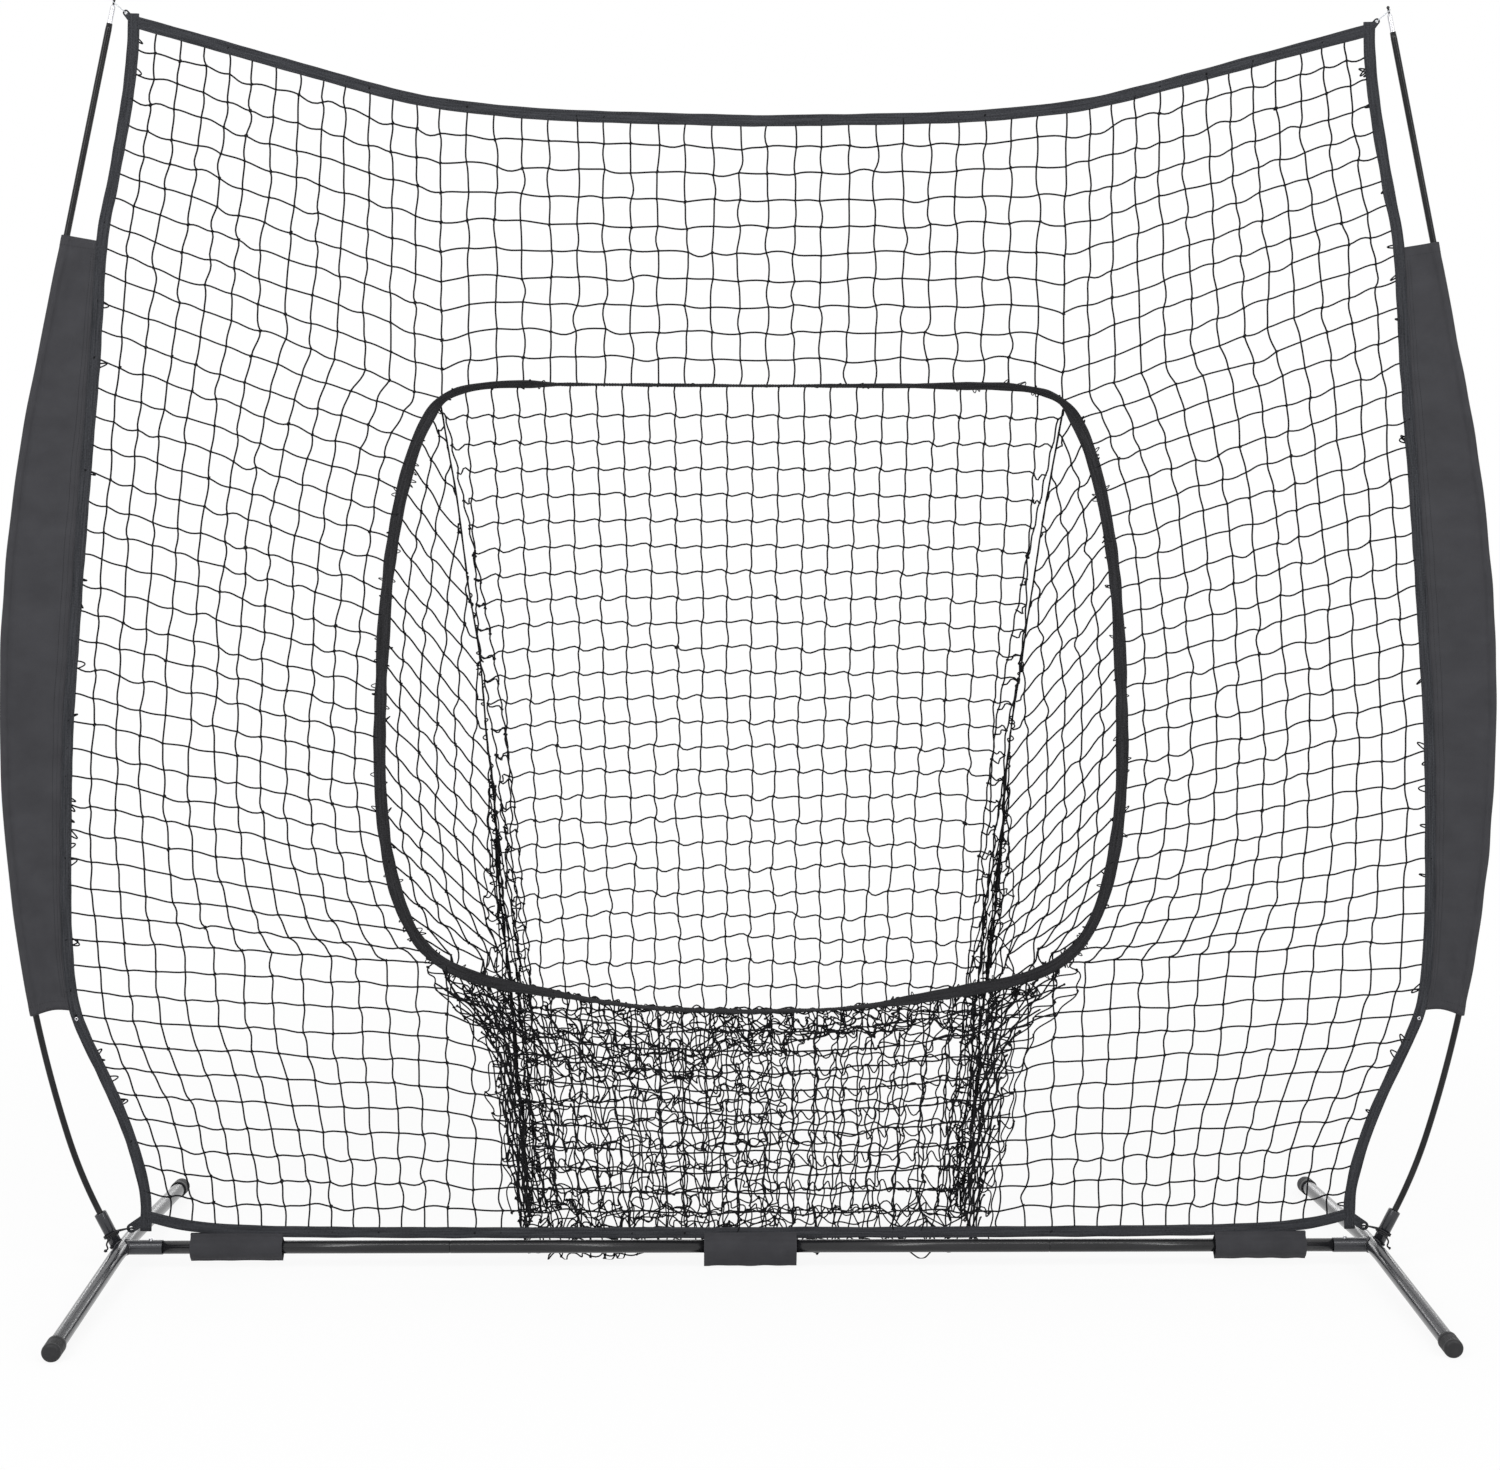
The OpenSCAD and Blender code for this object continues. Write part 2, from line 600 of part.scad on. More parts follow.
module sleeve() {
  m = 10;
  steps = len(sleeve_stations) - 1;
  points = concat(
    [for (z = sleeve_stations) for (p = sleeve_round(z)) [p[0], p[1], z]],
    [for (z = sleeve_stations) for (p = tunnel_round(z)) [p[0], p[1], z]]);
  inside = (steps + 1) * m;
  faces = concat(
    [for (k = [0 : steps - 1]) for (i = [0 : m - 1]) let (j = (i + 1) % m)
      each [[k * m + i, k * m + m + i, k * m + m + j], [k * m + i, k * m + m + j, k * m + j]]],
    [for (k = [0 : steps - 1]) for (i = [0 : m - 1]) let (j = (i + 1) % m, o = inside)
      each [[o + k * m + i, o + k * m + m + j, o + k * m + m + i],
            [o + k * m + i, o + k * m + j, o + k * m + m + j]]],
    [for (i = [0 : m - 1]) let (j = (i + 1) % m)
      each [[i, j, inside + j], [i, inside + j, inside + i]]],
    [for (i = [0 : m - 1]) let (j = (i + 1) % m, o = steps * m)
      each [[o + i, inside + o + j, o + j], [o + i, inside + o + i, inside + o + j]]]);
  color(cloth) polyhedron(points, faces);
}

// ---------------------------------------------------------------- bindings and cuffs

// A webbing tab with a hole, sewn to a corner of the binding.
module corner_tab(root, hole, root_r, end_r, hole_r) {
  difference() {
    hull() {
      translate([root[0], 0, root[1]]) rotate([90, 0, 0])
        cylinder(r = root_r, h = 2, center = true, $fn = 32);
      translate([hole[0], 0, hole[1]]) rotate([90, 0, 0])
        cylinder(r = end_r, h = 2, center = true, $fn = 32);
    }
    translate([hole[0], 0, hole[1]]) rotate([90, 0, 0])
      cylinder(r = hole_r, h = 9, center = true);
  }
}

module side_binding() {
  color(webbing) {
    in_net_plane(binding_t) side_binding_shape();
    corner_tab([1018, 82], tie_hole, 6, 7.5, 5);
    corner_tab([1000, 2052], tip_hole, 6, 5, 2.6);
  }
}

module top_binding() {
  color(webbing) in_net_plane(binding_t) difference() {
    top_binding_shape();
    both_side_bindings_shape();
  }
}

module bottom_binding() {
  color(webbing) in_net_plane(binding_t) difference() {
    bottom_binding_shape();
    both_side_bindings_shape();
  }
}

module opening_binding() {
  color(plastic) in_net_plane(binding_t) opening_binding_shape();
}

// A band of webbing cloth round the cross tube, closed flat above and below it.
module cuff(from, to, low) {
  cloth_r = cross_r + 1.9;
  half = 1.6;
  color(cloth) difference() {
    translate([from, 0, tube_z]) rotate([90, 0, 90]) linear_extrude(to - from) difference() {
      union() {
        circle(cloth_r);
        translate([-half, cross_r + 1]) square([2 * half, 26 - cross_r - 1]);
        polygon([[-half, low - tube_z], [half, low - tube_z], [8, -10], [-8, -10]]);
      }
      circle(cross_r + 0.6);
    }
    in_net_plane(binding_t) bottom_binding_shape();
    translate([from - 1, -20, 62]) cube([to - from + 2, 40, 40]);
  }
}

// A thin cord from the net's corner tab round the foot of the pole's socket, with a loose end.
module corner_tie() {
  wire_r = 1.5;
  turn_depth = 40; // from the mouth down to the cord's turns
  tail_len = 20;
  post = [mouth_x, mouth_z] - turn_depth * [sin(socket_lean), cos(socket_lean)];
  color(twine) {
    looped_cord(tie_hole, post, socket_d / 2 + 1.9, wire_r);
    at_mouth() translate([0, 0, -turn_depth - 2.5]) ring_of(socket_d / 2 + 1.7, wire_r);
    translate([post[0] + 7.5, -9, post[1] - 6.5]) rotate([-8, -20, 0])
      translate([0, 0, -tail_len]) {
        cylinder(r = wire_r, h = tail_len, $fn = 24);
        sphere(r = 2.6, $fn = 32);
      }
  }
}

// ---------------------------------------------------------------- pocket

seam_line = smooth([[515, 1468], [472, 1150], [447, 900], [431, 650], [414, 350],
  [385, pocket_z]], 2);
front_line = smooth([[545, 1400], [585, 1250], [610, 1000], [612, 800], [585, 620],
  [540, 500], [440, 380], [415, 250], [385, pocket_z]], 2);
back_top = 1468;
back_tilt = atan((pocket_depth - pocket_gap) / (back_top - pocket_z));
function back_y(z) = mix(pocket_gap, pocket_depth, (back_top - z) / (back_top - pocket_z));
function front_y(z) = pocket_gap + max(0, 500 - z) * 0.062;

function back_point(u, v) = let (z = mix(back_top, pocket_z, v),
  half = across_at(seam_line, z) - seam_r - 0.6)
  [mix(-half, half, u), -(back_top - z) / cos(back_tilt)];

module pocket_back() {
  color(twine) translate([0, pocket_gap, back_top]) rotate([back_tilt, 0, 0])
    translate([0, strand_t / 2, 0]) rotate([90, 0, 0]) linear_extrude(strand_t)
      flat_net(function (u, v) back_point(u, v), back_cells,
        [seam_hem, seam_hem, seam_hem, seam_hem], 1);
}

function gusset_point(u, v) = let (
  z = mix(1400, pocket_z, v),
  f = [across_at(front_line, z), front_y(z), z],
  b = [across_at(seam_line, z), back_y(z), z],
  way = (b - f) / norm(b - f)
) mix(f, b - way * (seam_r + 1.2), u);

module gusset() {
  color(twine) curved_net(function (u, v) gusset_point(u, v),
    function (u, v) [-0.94, -0.34, 0], gusset_cells, strand_w, strand_t);
}

// From the opening's lower edge down to the floor, then back to the foot of the pocket's back.
function apron_point(u, v) = let (
  row = v * 3,
  w = mix(-1, 1, u),
  top_x = w * 490, low_x = w * 376,
  top = [top_x, pocket_gap, height_at(ring_low, abs(top_x)) - 2],
  mid = [w * 405, front_y(250) + 3, 250],
  low = [low_x, front_y(pocket_z), pocket_z + 2],
  rear = [low_x, pocket_depth - 8, pocket_z + 2]
) row <= 1 ? mix(top, mid, row) : row <= 2 ? mix(mid, low, row - 1) : mix(low, rear, row - 2);
function apron_way(v) = v < 0.6 ? [0, 1, 0] : v < 0.8 ? [0, 0.707, 0.707] : [0, 0, 1];

module pocket_apron() {
  color(twine) curved_net(function (u, v) apron_point(u, v),
    function (u, v) apron_way(v), apron_cells, strand_w, strand_t);
}

module pocket_seam() {
  sides = 8;
  n = len(seam_line);
  points = [for (k = [n - 1 : -1 : 0]) let (p = seam_line[k]) for (i = [0 : sides - 1])
    [p[0], back_y(p[1]), p[1]] + seam_r * [cos(i * 360 / sides), sin(i * 360 / sides), 0]];
  color(twine) polyhedron(points, tube_faces(n, sides));
}

// ---------------------------------------------------------------- nodes

left_of() leg_tube();  // left_leg_tube
leg_tube();  // right_leg_tube
foot_cap(-1, -1);  // left_front_foot_cap
foot_cap(-1, 1);  // left_rear_foot_cap
foot_cap(1, -1);  // right_front_foot_cap
foot_cap(1, 1);  // right_rear_foot_cap
left_of() stub();  // left_stub
stub();  // right_stub
left_of() pole_socket();  // left_pole_socket
pole_socket();  // right_pole_socket
left_of() outer_cross_tube();  // left_outer_cross_tube
left_inner_cross_tube();
right_inner_cross_tube();
outer_cross_tube();  // right_outer_cross_tube
left_of() button_spring();  // left_button_spring
button_spring();  // right_button_spring
left_of() snap_button();  // left_snap_button
snap_button();  // right_snap_button
left_of() corner_tie();  // left_corner_tie
corner_tie();  // right_corner_tie
left_of() lower_pole();  // left_lower_pole
left_of() upper_pole();  // left_upper_pole
lower_pole();  // right_lower_pole
upper_pole();  // right_upper_pole
left_of() pole_ferrule();  // left_pole_ferrule
pole_ferrule();  // right_pole_ferrule
left_of() pole_plug();  // left_pole_plug
pole_plug();  // right_pole_plug
left_of() tip_sleeve();  // left_tip_sleeve
tip_sleeve();  // right_tip_sleeve
left_of() tip_pin();  // left_tip_pin
tip_pin();  // right_tip_pin
left_of() tip_loop();  // left_tip_loop
tip_loop();  // right_tip_loop
left_of() sleeve();  // left_sleeve
sleeve();  // right_sleeve
top_binding();
bottom_binding();
left_of() side_binding();  // left_binding
side_binding();  // right_binding
opening_binding();
color(twine) in_net_plane(strand_t)  // upper_net
  inside_bindings() flat_net(function (u, v) upper_point(u, v), upper_cells, middle_hem);
color(twine) in_net_plane(strand_t)  // lower_net
  inside_bindings() flat_net(function (u, v) lower_point(u, v), lower_cells, middle_hem);
left_of() color(twine) in_net_plane(strand_t)  // left_net
  inside_bindings() flat_net(function (u, v) side_point(u, v), side_cells, side_hem);
color(twine) in_net_plane(strand_t)  // right_net
  inside_bindings() flat_net(function (u, v) side_point(u, v), side_cells, side_hem);
left_of() cuff(side_cuff_x[0], side_cuff_x[1], side_cuff_z);  // left_cuff
cuff(-mid_cuff_x, mid_cuff_x, mid_cuff_z);  // middle_cuff
cuff(side_cuff_x[0], side_cuff_x[1], side_cuff_z);  // right_cuff
pocket_back();
left_of() gusset();  // left_gusset
gusset();  // right_gusset
pocket_apron();
left_of() pocket_seam();  // left_pocket_seam
pocket_seam();  // right_pocket_seam
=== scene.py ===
import math

import bpy
import numpy as np
from mathutils import Matrix, Vector


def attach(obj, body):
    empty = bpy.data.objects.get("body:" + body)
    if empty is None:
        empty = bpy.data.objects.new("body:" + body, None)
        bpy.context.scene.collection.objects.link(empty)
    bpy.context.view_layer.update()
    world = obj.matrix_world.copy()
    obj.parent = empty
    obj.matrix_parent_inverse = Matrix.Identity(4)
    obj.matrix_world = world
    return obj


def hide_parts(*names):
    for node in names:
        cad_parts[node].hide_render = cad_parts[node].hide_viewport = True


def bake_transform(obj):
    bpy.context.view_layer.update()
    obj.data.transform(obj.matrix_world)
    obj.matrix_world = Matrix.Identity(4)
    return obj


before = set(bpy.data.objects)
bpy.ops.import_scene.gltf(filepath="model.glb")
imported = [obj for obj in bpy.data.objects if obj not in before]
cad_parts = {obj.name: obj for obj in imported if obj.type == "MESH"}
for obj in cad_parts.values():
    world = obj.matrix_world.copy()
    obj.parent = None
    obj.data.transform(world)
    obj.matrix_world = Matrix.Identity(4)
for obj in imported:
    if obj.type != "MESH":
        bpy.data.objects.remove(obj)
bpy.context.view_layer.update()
# the knots draw from this one, in the order in which they are made; all else has generators of its own
rng = np.random.default_rng(11)

# ------------------------------------------------------------------ camera and light

# the photograph's fitted camera, in mm, metres and degrees
FOCAL, EYE, YAW, TILT, ROLL = 59.98, (-0.079, -4.123, 1.254), -1.053, 85.1, 0.18
AMBIENT = 0.62

scene = bpy.context.scene
camera_data = bpy.data.cameras.new("camera")
camera = bpy.data.objects.new("camera", camera_data)
scene.collection.objects.link(camera)
scene.camera = camera
camera_data.sensor_fit = "HORIZONTAL"
camera_data.sensor_width = 36.0
camera_data.lens = FOCAL
camera_data.clip_end = 100.0
camera.matrix_world = Matrix.Translation(EYE)
for turn, axis in ((YAW, "Z"), (TILT, "X"), (ROLL, "Z")):
    camera.matrix_world = camera.matrix_world @ Matrix.Rotation(math.radians(turn), 4, axis)
scene.view_settings.view_transform = "Standard"


def node(tree, kind, sources, **settings):
    """A new shader node; sources gives its inputs, each as a value or as another node's output."""
    n = tree.nodes.new("ShaderNode" + kind)
    for key, value in settings.items():
        setattr(n, key, value)
    for key, value in sources.items():
        if isinstance(value, bpy.types.NodeSocket):
            tree.links.new(value, n.inputs[key])
        else:
            n.inputs[key].default_value = value
    return n


def seen_directly(tree):
    """1 for rays that carry the white background: camera, glossy and transmission rays."""
    ray = node(tree, "LightPath", {}).outputs
    both = node(tree, "Math", {0: ray["Is Camera Ray"], 1: ray["Is Glossy Ray"]}, operation="ADD")
    every = node(tree, "Math", {0: both.outputs[0], 1: ray["Is Transmission Ray"]}, operation="ADD", use_clamp=True)
    return every.outputs[0]


world = bpy.data.worlds.new("studio")
scene.world = world
world.use_nodes = True
tree = world.node_tree
tree.nodes.clear()
lit = node(tree, "Background", {"Color": (1, 1, 1, 1), "Strength": AMBIENT})
white = node(tree, "Background", {"Color": (1, 1, 1, 1), "Strength": 1.0})
choose = node(tree, "MixShader", {0: seen_directly(tree), 1: lit.outputs[0], 2: white.outputs[0]})
node(tree, "OutputWorld", {0: choose.outputs[0]})


def softbox(name, at, aim, size, watts):
    data = bpy.data.lights.new(name, "AREA")
    data.shape = "RECTANGLE"
    data.size, data.size_y = size
    data.energy = watts
    lamp = bpy.data.objects.new(name, data)
    scene.collection.objects.link(lamp)
    lamp.location = at
    lamp.rotation_euler = (Vector(aim) - Vector(at)).to_track_quat("-Z", "Y").to_euler()
    lamp.visible_camera = False


softbox("key", (-3.0, -4.0, 3.4), (0, 0, 0.9), (0.7, 3.2), 70)
softbox("fill", (3.2, -3.8, 3.0), (0, 0, 0.9), (0.5, 3.2), 45)
softbox("overhead", (0, -2.6, 4.2), (0, 0, 0.6), (7.5, 0.35), 70)
softbox("rear", (0, 4.6, 1.3), (0, 0, 0.4), (6.5, 0.25), 26)

# ------------------------------------------------------------------ materials


def material(name, colour, roughness, metallic=0.0, coat=0.0, sheen=0.0, specular=0.5):
    m = bpy.data.materials.new(name)
    m.use_nodes = True
    for key, value in (("Base Color", (*colour, 1)), ("Roughness", roughness), ("Metallic", metallic),
                       ("Coat Weight", coat), ("Coat Roughness", 0.12), ("Sheen Weight", sheen),
                       ("Sheen Roughness", 0.5), ("Specular IOR Level", specular)):
        m.node_tree.nodes["Principled BSDF"].inputs[key].default_value = value
    return m


def coords(m, kind="Object", stretch=(1, 1, 1)):
    at = node(m.node_tree, "TexCoord", {}).outputs[kind]
    return node(m.node_tree, "Mapping", {"Vector": at, "Scale": stretch}).outputs["Vector"]


def noise(m, vector, scale, detail=3.0, rough=0.55):
    sources = {"Vector": vector, "Scale": scale, "Detail": detail, "Roughness": rough}
    return node(m.node_tree, "TexNoise", sources).outputs["Fac"]


def wave(m, vector, scale, direction="X", distortion=0.0):
    sources = {"Vector": vector, "Scale": scale, "Distortion": distortion, "Detail": 1.0}
    return node(m.node_tree, "TexWave", sources, wave_type="BANDS", bands_direction=direction).outputs["Fac"]


def mixed(m, a, share_a, b, share_b):
    """The sum of a and b, each times its share."""
    parts = [node(m.node_tree, "Math", {0: value, 1: share}, operation="MULTIPLY").outputs[0]
             for value, share in ((a, share_a), (b, share_b))]
    return node(m.node_tree, "Math", {0: parts[0], 1: parts[1]}, operation="ADD").outputs[0]


def ramp_to(m, fac, low, high, socket, lo=0.3, hi=0.7):
    """Takes an input of the shader from low to high as fac goes from lo to hi."""
    ramp = node(m.node_tree, "ValToRGB", {"Fac": fac})
    for element, position, colour in zip(ramp.color_ramp.elements, (lo, hi), (low, high)):
        element.position = position
        element.color = (*colour, 1)
    m.node_tree.links.new(ramp.outputs["Color"], m.node_tree.nodes["Principled BSDF"].inputs[socket])


def bump(m, height, strength, distance):
    b = node(m.node_tree, "Bump", {"Height": height, "Strength": strength, "Distance": distance})
    m.node_tree.links.new(b.outputs["Normal"], m.node_tree.nodes["Principled BSDF"].inputs["Normal"])


def grey(v):
    return (v, v, v)


def flecked(name, colour, dark, light, roughness, specular, scale, fibre, rise):
    """A dark surface: the odd lighter fleck of the given scale, and fibres or grain that rise a little."""
    m = material(name, colour, roughness, specular=specular)
    at = coords(m)
    ramp_to(m, noise(m, at, scale), dark, light, "Base Color")
    bump(m, noise(m, at, *fibre), *rise)
    return m


TWINE = flecked("netting_twine", (0.010, 0.010, 0.011), (0.004, 0.004, 0.005), (0.016, 0.016, 0.018),
                0.8, 0.1, 260, (1500, 2), (0.5, 0.0005))
SEAM_TWINE = flecked("seam_twine", (0.009, 0.009, 0.010), (0.004, 0.004, 0.004), (0.015, 0.015, 0.016),
                     0.85, 0.1, 320, (1300, 2), (0.6, 0.0006))
THREAD = flecked("stitching_thread", (0.012, 0.012, 0.013), (0.006, 0.006, 0.007), (0.022, 0.022, 0.024),
                 0.7, 0.2, 700, (2200, 1), (0.5, 0.0003))
TIE_CORD = material("tie_cord", (0.02, 0.02, 0.022), 0.7, specular=0.2)
# the twist of the lay gives the bump, and also the colour: the strands' crests are painted lighter and the grooves
# between them darker, which is painted highlight and painted shade
lay_and_painted_shade = wave(TIE_CORD, coords(TIE_CORD), 140, "DIAGONAL", 2)
ramp_to(TIE_CORD, lay_and_painted_shade, (0.010, 0.010, 0.011), (0.035, 0.035, 0.038), "Base Color")
bump(TIE_CORD, lay_and_painted_shade, 0.5, 0.0008)


def webbing(name, dark, light):
    m = material(name, dark, 0.85, sheen=0.03, specular=0.14)
    uv = coords(m, "UV")
    yarn = noise(m, coords(m, "UV", (14, 420, 1)), 1.0, 2)
    heather = noise(m, uv, 420, 3, 0.65)
    ramp_to(m, mixed(m, heather, 0.5, yarn, 0.5), dark, light, "Base Color", 0.36, 0.66)
    bump(m, mixed(m, wave(m, uv, 180, "X", 0.6), 0.7, heather, 0.5), 0.6, 0.0007)
    return m


EDGE = webbing("edge_webbing", (0.018, 0.019, 0.022), (0.056, 0.058, 0.065))
RING = webbing("opening_webbing", (0.010, 0.010, 0.011), (0.034, 0.034, 0.037))

# plain-woven polyester: the weave is warp times weft
CLOTH = material("sleeve_polyester", (0.046, 0.046, 0.051), 0.78, sheen=0.03, specular=0.16)
uv = coords(CLOTH, "UV")
soft = noise(CLOTH, uv, 22, 3)
ramp_to(CLOTH, mixed(CLOTH, soft, 0.6, noise(CLOTH, uv, 900, 2), 0.4), (0.036, 0.036, 0.040), (0.054, 0.054, 0.060),
        "Base Color", 0.3, 0.72)
bump(CLOTH, mixed(CLOTH, wave(CLOTH, uv, 330, "X", 0.3), wave(CLOTH, uv, 330, "Y", 0.3), soft, 1.2), 0.45, 0.0005)


def steel(name, dark, light, metallic, coat, specular):
    m = material(name, dark, 0.3, metallic, coat, specular=specular)
    at = coords(m)
    ramp_to(m, noise(m, at, 9), dark, light, "Base Color")
    ramp_to(m, noise(m, at, 30, 2), grey(0.19), grey(0.25), "Roughness")
    bump(m, noise(m, at, 110, 1), 0.003, 0.0002)
    return m


LEG = steel("leg_powder_coat", (0.020, 0.021, 0.025), (0.036, 0.037, 0.043), 0.25, 0.25, 0.4)
TUBE = steel("tube_powder_coat", (0.008, 0.008, 0.009), (0.016, 0.016, 0.018), 0.0, 0.2, 0.3)
WELD = steel("weld", (0.02, 0.02, 0.022), (0.045, 0.045, 0.05), 0.3, 0.1, 0.4)
POLE = material("pole_fibreglass", (0.008, 0.008, 0.009), 0.2, coat=0.08, specular=0.22)
along = coords(POLE, stretch=(60, 60, 2))
ramp_to(POLE, noise(POLE, along, 1.0, 2), (0.005, 0.005, 0.006), (0.014, 0.014, 0.015), "Base Color")
ramp_to(POLE, noise(POLE, along, 2.0, 2), grey(0.16), grey(0.26), "Roughness")
CHROME = material("bright_steel", (0.72, 0.72, 0.75), 0.16, metallic=1.0)
ramp_to(CHROME, noise(CHROME, coords(CHROME, stretch=(1, 1, 30)), 60, 3), grey(0.10), grey(0.26), "Roughness")
PLASTIC = flecked("moulded_plastic", (0.016, 0.016, 0.018), (0.011, 0.011, 0.012), (0.022, 0.022, 0.024),
                  0.5, 0.35, 40, (1400, 2), (0.2, 0.0002))
ramp_to(PLASTIC, noise(PLASTIC, coords(PLASTIC), 25), grey(0.42), grey(0.6), "Roughness")
SPRING = material("spring_steel", (0.45, 0.45, 0.47), 0.3, metallic=1.0)
ramp_to(SPRING, noise(SPRING, coords(SPRING, stretch=(1, 40, 1)), 80, 2), grey(0.22), grey(0.4), "Roughness")
CLEAR = material("clear_elastic", (0.72, 0.74, 0.78), 0.25, specular=0.6)
CLEAR.node_tree.nodes["Principled BSDF"].inputs["Transmission Weight"].default_value = 0.55
ramp_to(CLEAR, noise(CLEAR, coords(CLEAR), 700, 2), (0.62, 0.64, 0.68), (0.82, 0.84, 0.88), "Base Color")

# ------------------------------------------------------------------ mesh helpers


def mesh_object(name, verts, polys, mat, uvs=None, smooth=True):
    """polys is a list of arrays, each with one row per face; uvs, if given, is one array per polys."""
    me = bpy.data.meshes.new(name)
    verts = np.asarray(verts, np.float64).reshape(-1, 3)
    loops = np.concatenate([p.ravel() for p in polys]).astype(np.int32)
    sizes = np.concatenate([np.full(len(p), p.shape[1]) for p in polys])
    starts = np.concatenate([[0], np.cumsum(sizes)[:-1]]).astype(np.int32)
    me.vertices.add(len(verts))
    me.vertices.foreach_set("co", verts.astype(np.float32).ravel())
    me.loops.add(len(loops))
    me.loops.foreach_set("vertex_index", loops)
    me.polygons.add(len(starts))
    me.polygons.foreach_set("loop_start", starts)
    me.update(calc_edges=True)
    me.polygons.foreach_set("use_smooth", np.full(len(starts), smooth))
    if uvs is not None:
        layer = me.uv_layers.new(name="UVMap")
        layer.data.foreach_set("uv", np.concatenate([u.reshape(-1, 2) for u in uvs]).astype(np.float32).ravel())
    me.materials.append(mat)
    obj = bpy.data.objects.new(name, me)
    scene.collection.objects.link(obj)
    return obj


def keep_above(obj, z, y=-np.inf):
    """Moves what is lower than z up to it, and what is further forward than y back to it."""
    co = np.array([q.co for q in obj.data.vertices])
    co[:, 2] = np.maximum(co[:, 2], z)
    co[:, 1] = np.maximum(co[:, 1], y)
    obj.data.vertices.foreach_set("co", co.astype(np.float32).ravel())


def unit(v):
    return v / np.maximum(np.linalg.norm(v, axis=-1, keepdims=True), 1e-12)


def travel(line):
    """Distance along a line at each of its points."""
    return np.concatenate([[0], np.cumsum(np.linalg.norm(np.diff(line, axis=0), axis=1))])


def circle(n, b, sides):
    """A unit circle of points about each place, where n and b are its two directions there."""
    w = np.arange(sides) * 2 * np.pi / sides
    return np.cos(w)[:, None] * n[..., None, :] + np.sin(w)[:, None] * b[..., None, :]


def skin_quads(n, m, loop=False):
    """Quads between n rings of m points, with the ring and the point at which each begins."""
    k, i = np.divmod(np.arange((n if loop else n - 1) * m), m)
    k2, i2 = (k + 1) % n, (i + 1) % m
    return np.stack([k * m + i, k * m + i2, k2 * m + i2, k2 * m + i], -1), k, i


def sweep(name, sections, mat, loop=False):
    """A skin over rings of points, each ring anticlockwise about the way the rings go."""
    s = np.asarray(sections, float)
    n, m = s.shape[:2]
    quads, k, i = skin_quads(n, m, loop)
    mid = s.mean(1)
    go = travel(np.vstack([mid, mid[:1]]))
    around = travel(np.vstack([s[0], s[0][:1]]))
    a, b, c, d = go[k], go[k + 1], around[i], around[i + 1]
    polys, uvs = [quads], [np.stack([a, c, a, d, b, d, b, c], -1)]
    if not loop:
        polys.append(np.array([np.arange(m)[::-1], (n - 1) * m + np.arange(m)]))
        uvs.append(np.zeros((2, m, 2)))
    return mesh_object(name, s, polys, mat, uvs)


def frames(line):
    """Tangent and two normals at each point of one line, turning as little as they can."""
    t = unit(np.gradient(np.asarray(line, float), axis=0))
    n = np.zeros_like(t)
    first = np.cross(t[0], (0, 1, 0))
    n[0] = unit(first if np.linalg.norm(first) > 0.2 else np.cross(t[0], (1, 0, 0)))
    for k in range(1, len(t)):
        n[k] = unit(n[k - 1] - t[k] * np.dot(n[k - 1], t[k]))
    return t, n, np.cross(t, n)


def rod(name, line, radius, mat, sides=16):
    """A round bar along a line; its radius may change from point to point."""
    _, n, b = frames(line)
    r = np.broadcast_to(radius, (len(line),))
    return sweep(name, line[:, None] + r[:, None, None] * circle(n, b, sides), mat)


def lathe(name, profile, origin, axis, mat, sides=48, loop=False, low=-np.inf):
    """profile is (radius, distance along axis) from one end round to the other; nothing is lower than low."""
    p = np.asarray(profile, float)[..., None, None]
    axis = np.asarray(axis, float)
    n = unit(np.cross(axis, (0, 1, 0) if abs(axis[1]) < 0.9 else (1, 0, 0)))
    s = np.asarray(origin) + p[:, 1] * axis + p[:, 0] * circle(n, np.cross(axis, n), sides)[None]
    s[..., 2] = np.maximum(s[..., 2], low)
    return sweep(name, s, mat, loop)


STRAND_SIDES = 5


def strand_mesh(name, lines, radius, mat, blobs=None):
    """Many short tubes in one mesh. lines is (strands, points, 3); blobs adds knots."""
    s, k = lines.shape[:2]
    t = unit(np.gradient(lines, axis=1))
    level = np.abs(unit(t.mean(1))[:, 1:2]) > 0.8
    ref = np.where(level, np.array([1.0, 0, 0]), np.array([0, 1.0, 0]))[:, None]
    n = unit(np.cross(t, np.broadcast_to(ref, t.shape)))
    verts = (lines[:, :, None] + radius * circle(n, np.cross(t, n), STRAND_SIDES)).reshape(-1, 3)
    base = (np.arange(s) * k * STRAND_SIDES)[:, None, None]
    i = np.arange(STRAND_SIDES)
    ends = np.array([i[::-1], (k - 1) * STRAND_SIDES + i])
    polys = [(skin_quads(k, STRAND_SIDES)[0][None] + base).reshape(-1, 4),
             (ends[None] + base).reshape(-1, STRAND_SIDES)]
    if blobs:
        polys.append(blobs[1] + len(verts))
        verts = np.vstack([verts, blobs[0]])
    return mesh_object(name, verts, polys, mat)


GOLD = (1 + 5 ** 0.5) / 2
ICO = unit(np.array([(-1, GOLD, 0), (1, GOLD, 0), (-1, -GOLD, 0), (1, -GOLD, 0), (0, -1, GOLD), (0, 1, GOLD),
                     (0, -1, -GOLD), (0, 1, -GOLD), (GOLD, 0, -1), (GOLD, 0, 1), (-GOLD, 0, -1), (-GOLD, 0, 1)]))
ICO_FACES = np.array([(0, 11, 5), (0, 5, 1), (0, 1, 7), (0, 7, 10), (0, 10, 11), (1, 5, 9), (5, 11, 4), (11, 10, 2),
                      (10, 7, 6), (7, 1, 8), (3, 9, 4), (3, 4, 2), (3, 2, 6), (3, 6, 8), (3, 8, 9), (4, 9, 5),
                      (2, 4, 11), (6, 2, 10), (8, 6, 7), (9, 8, 1)])


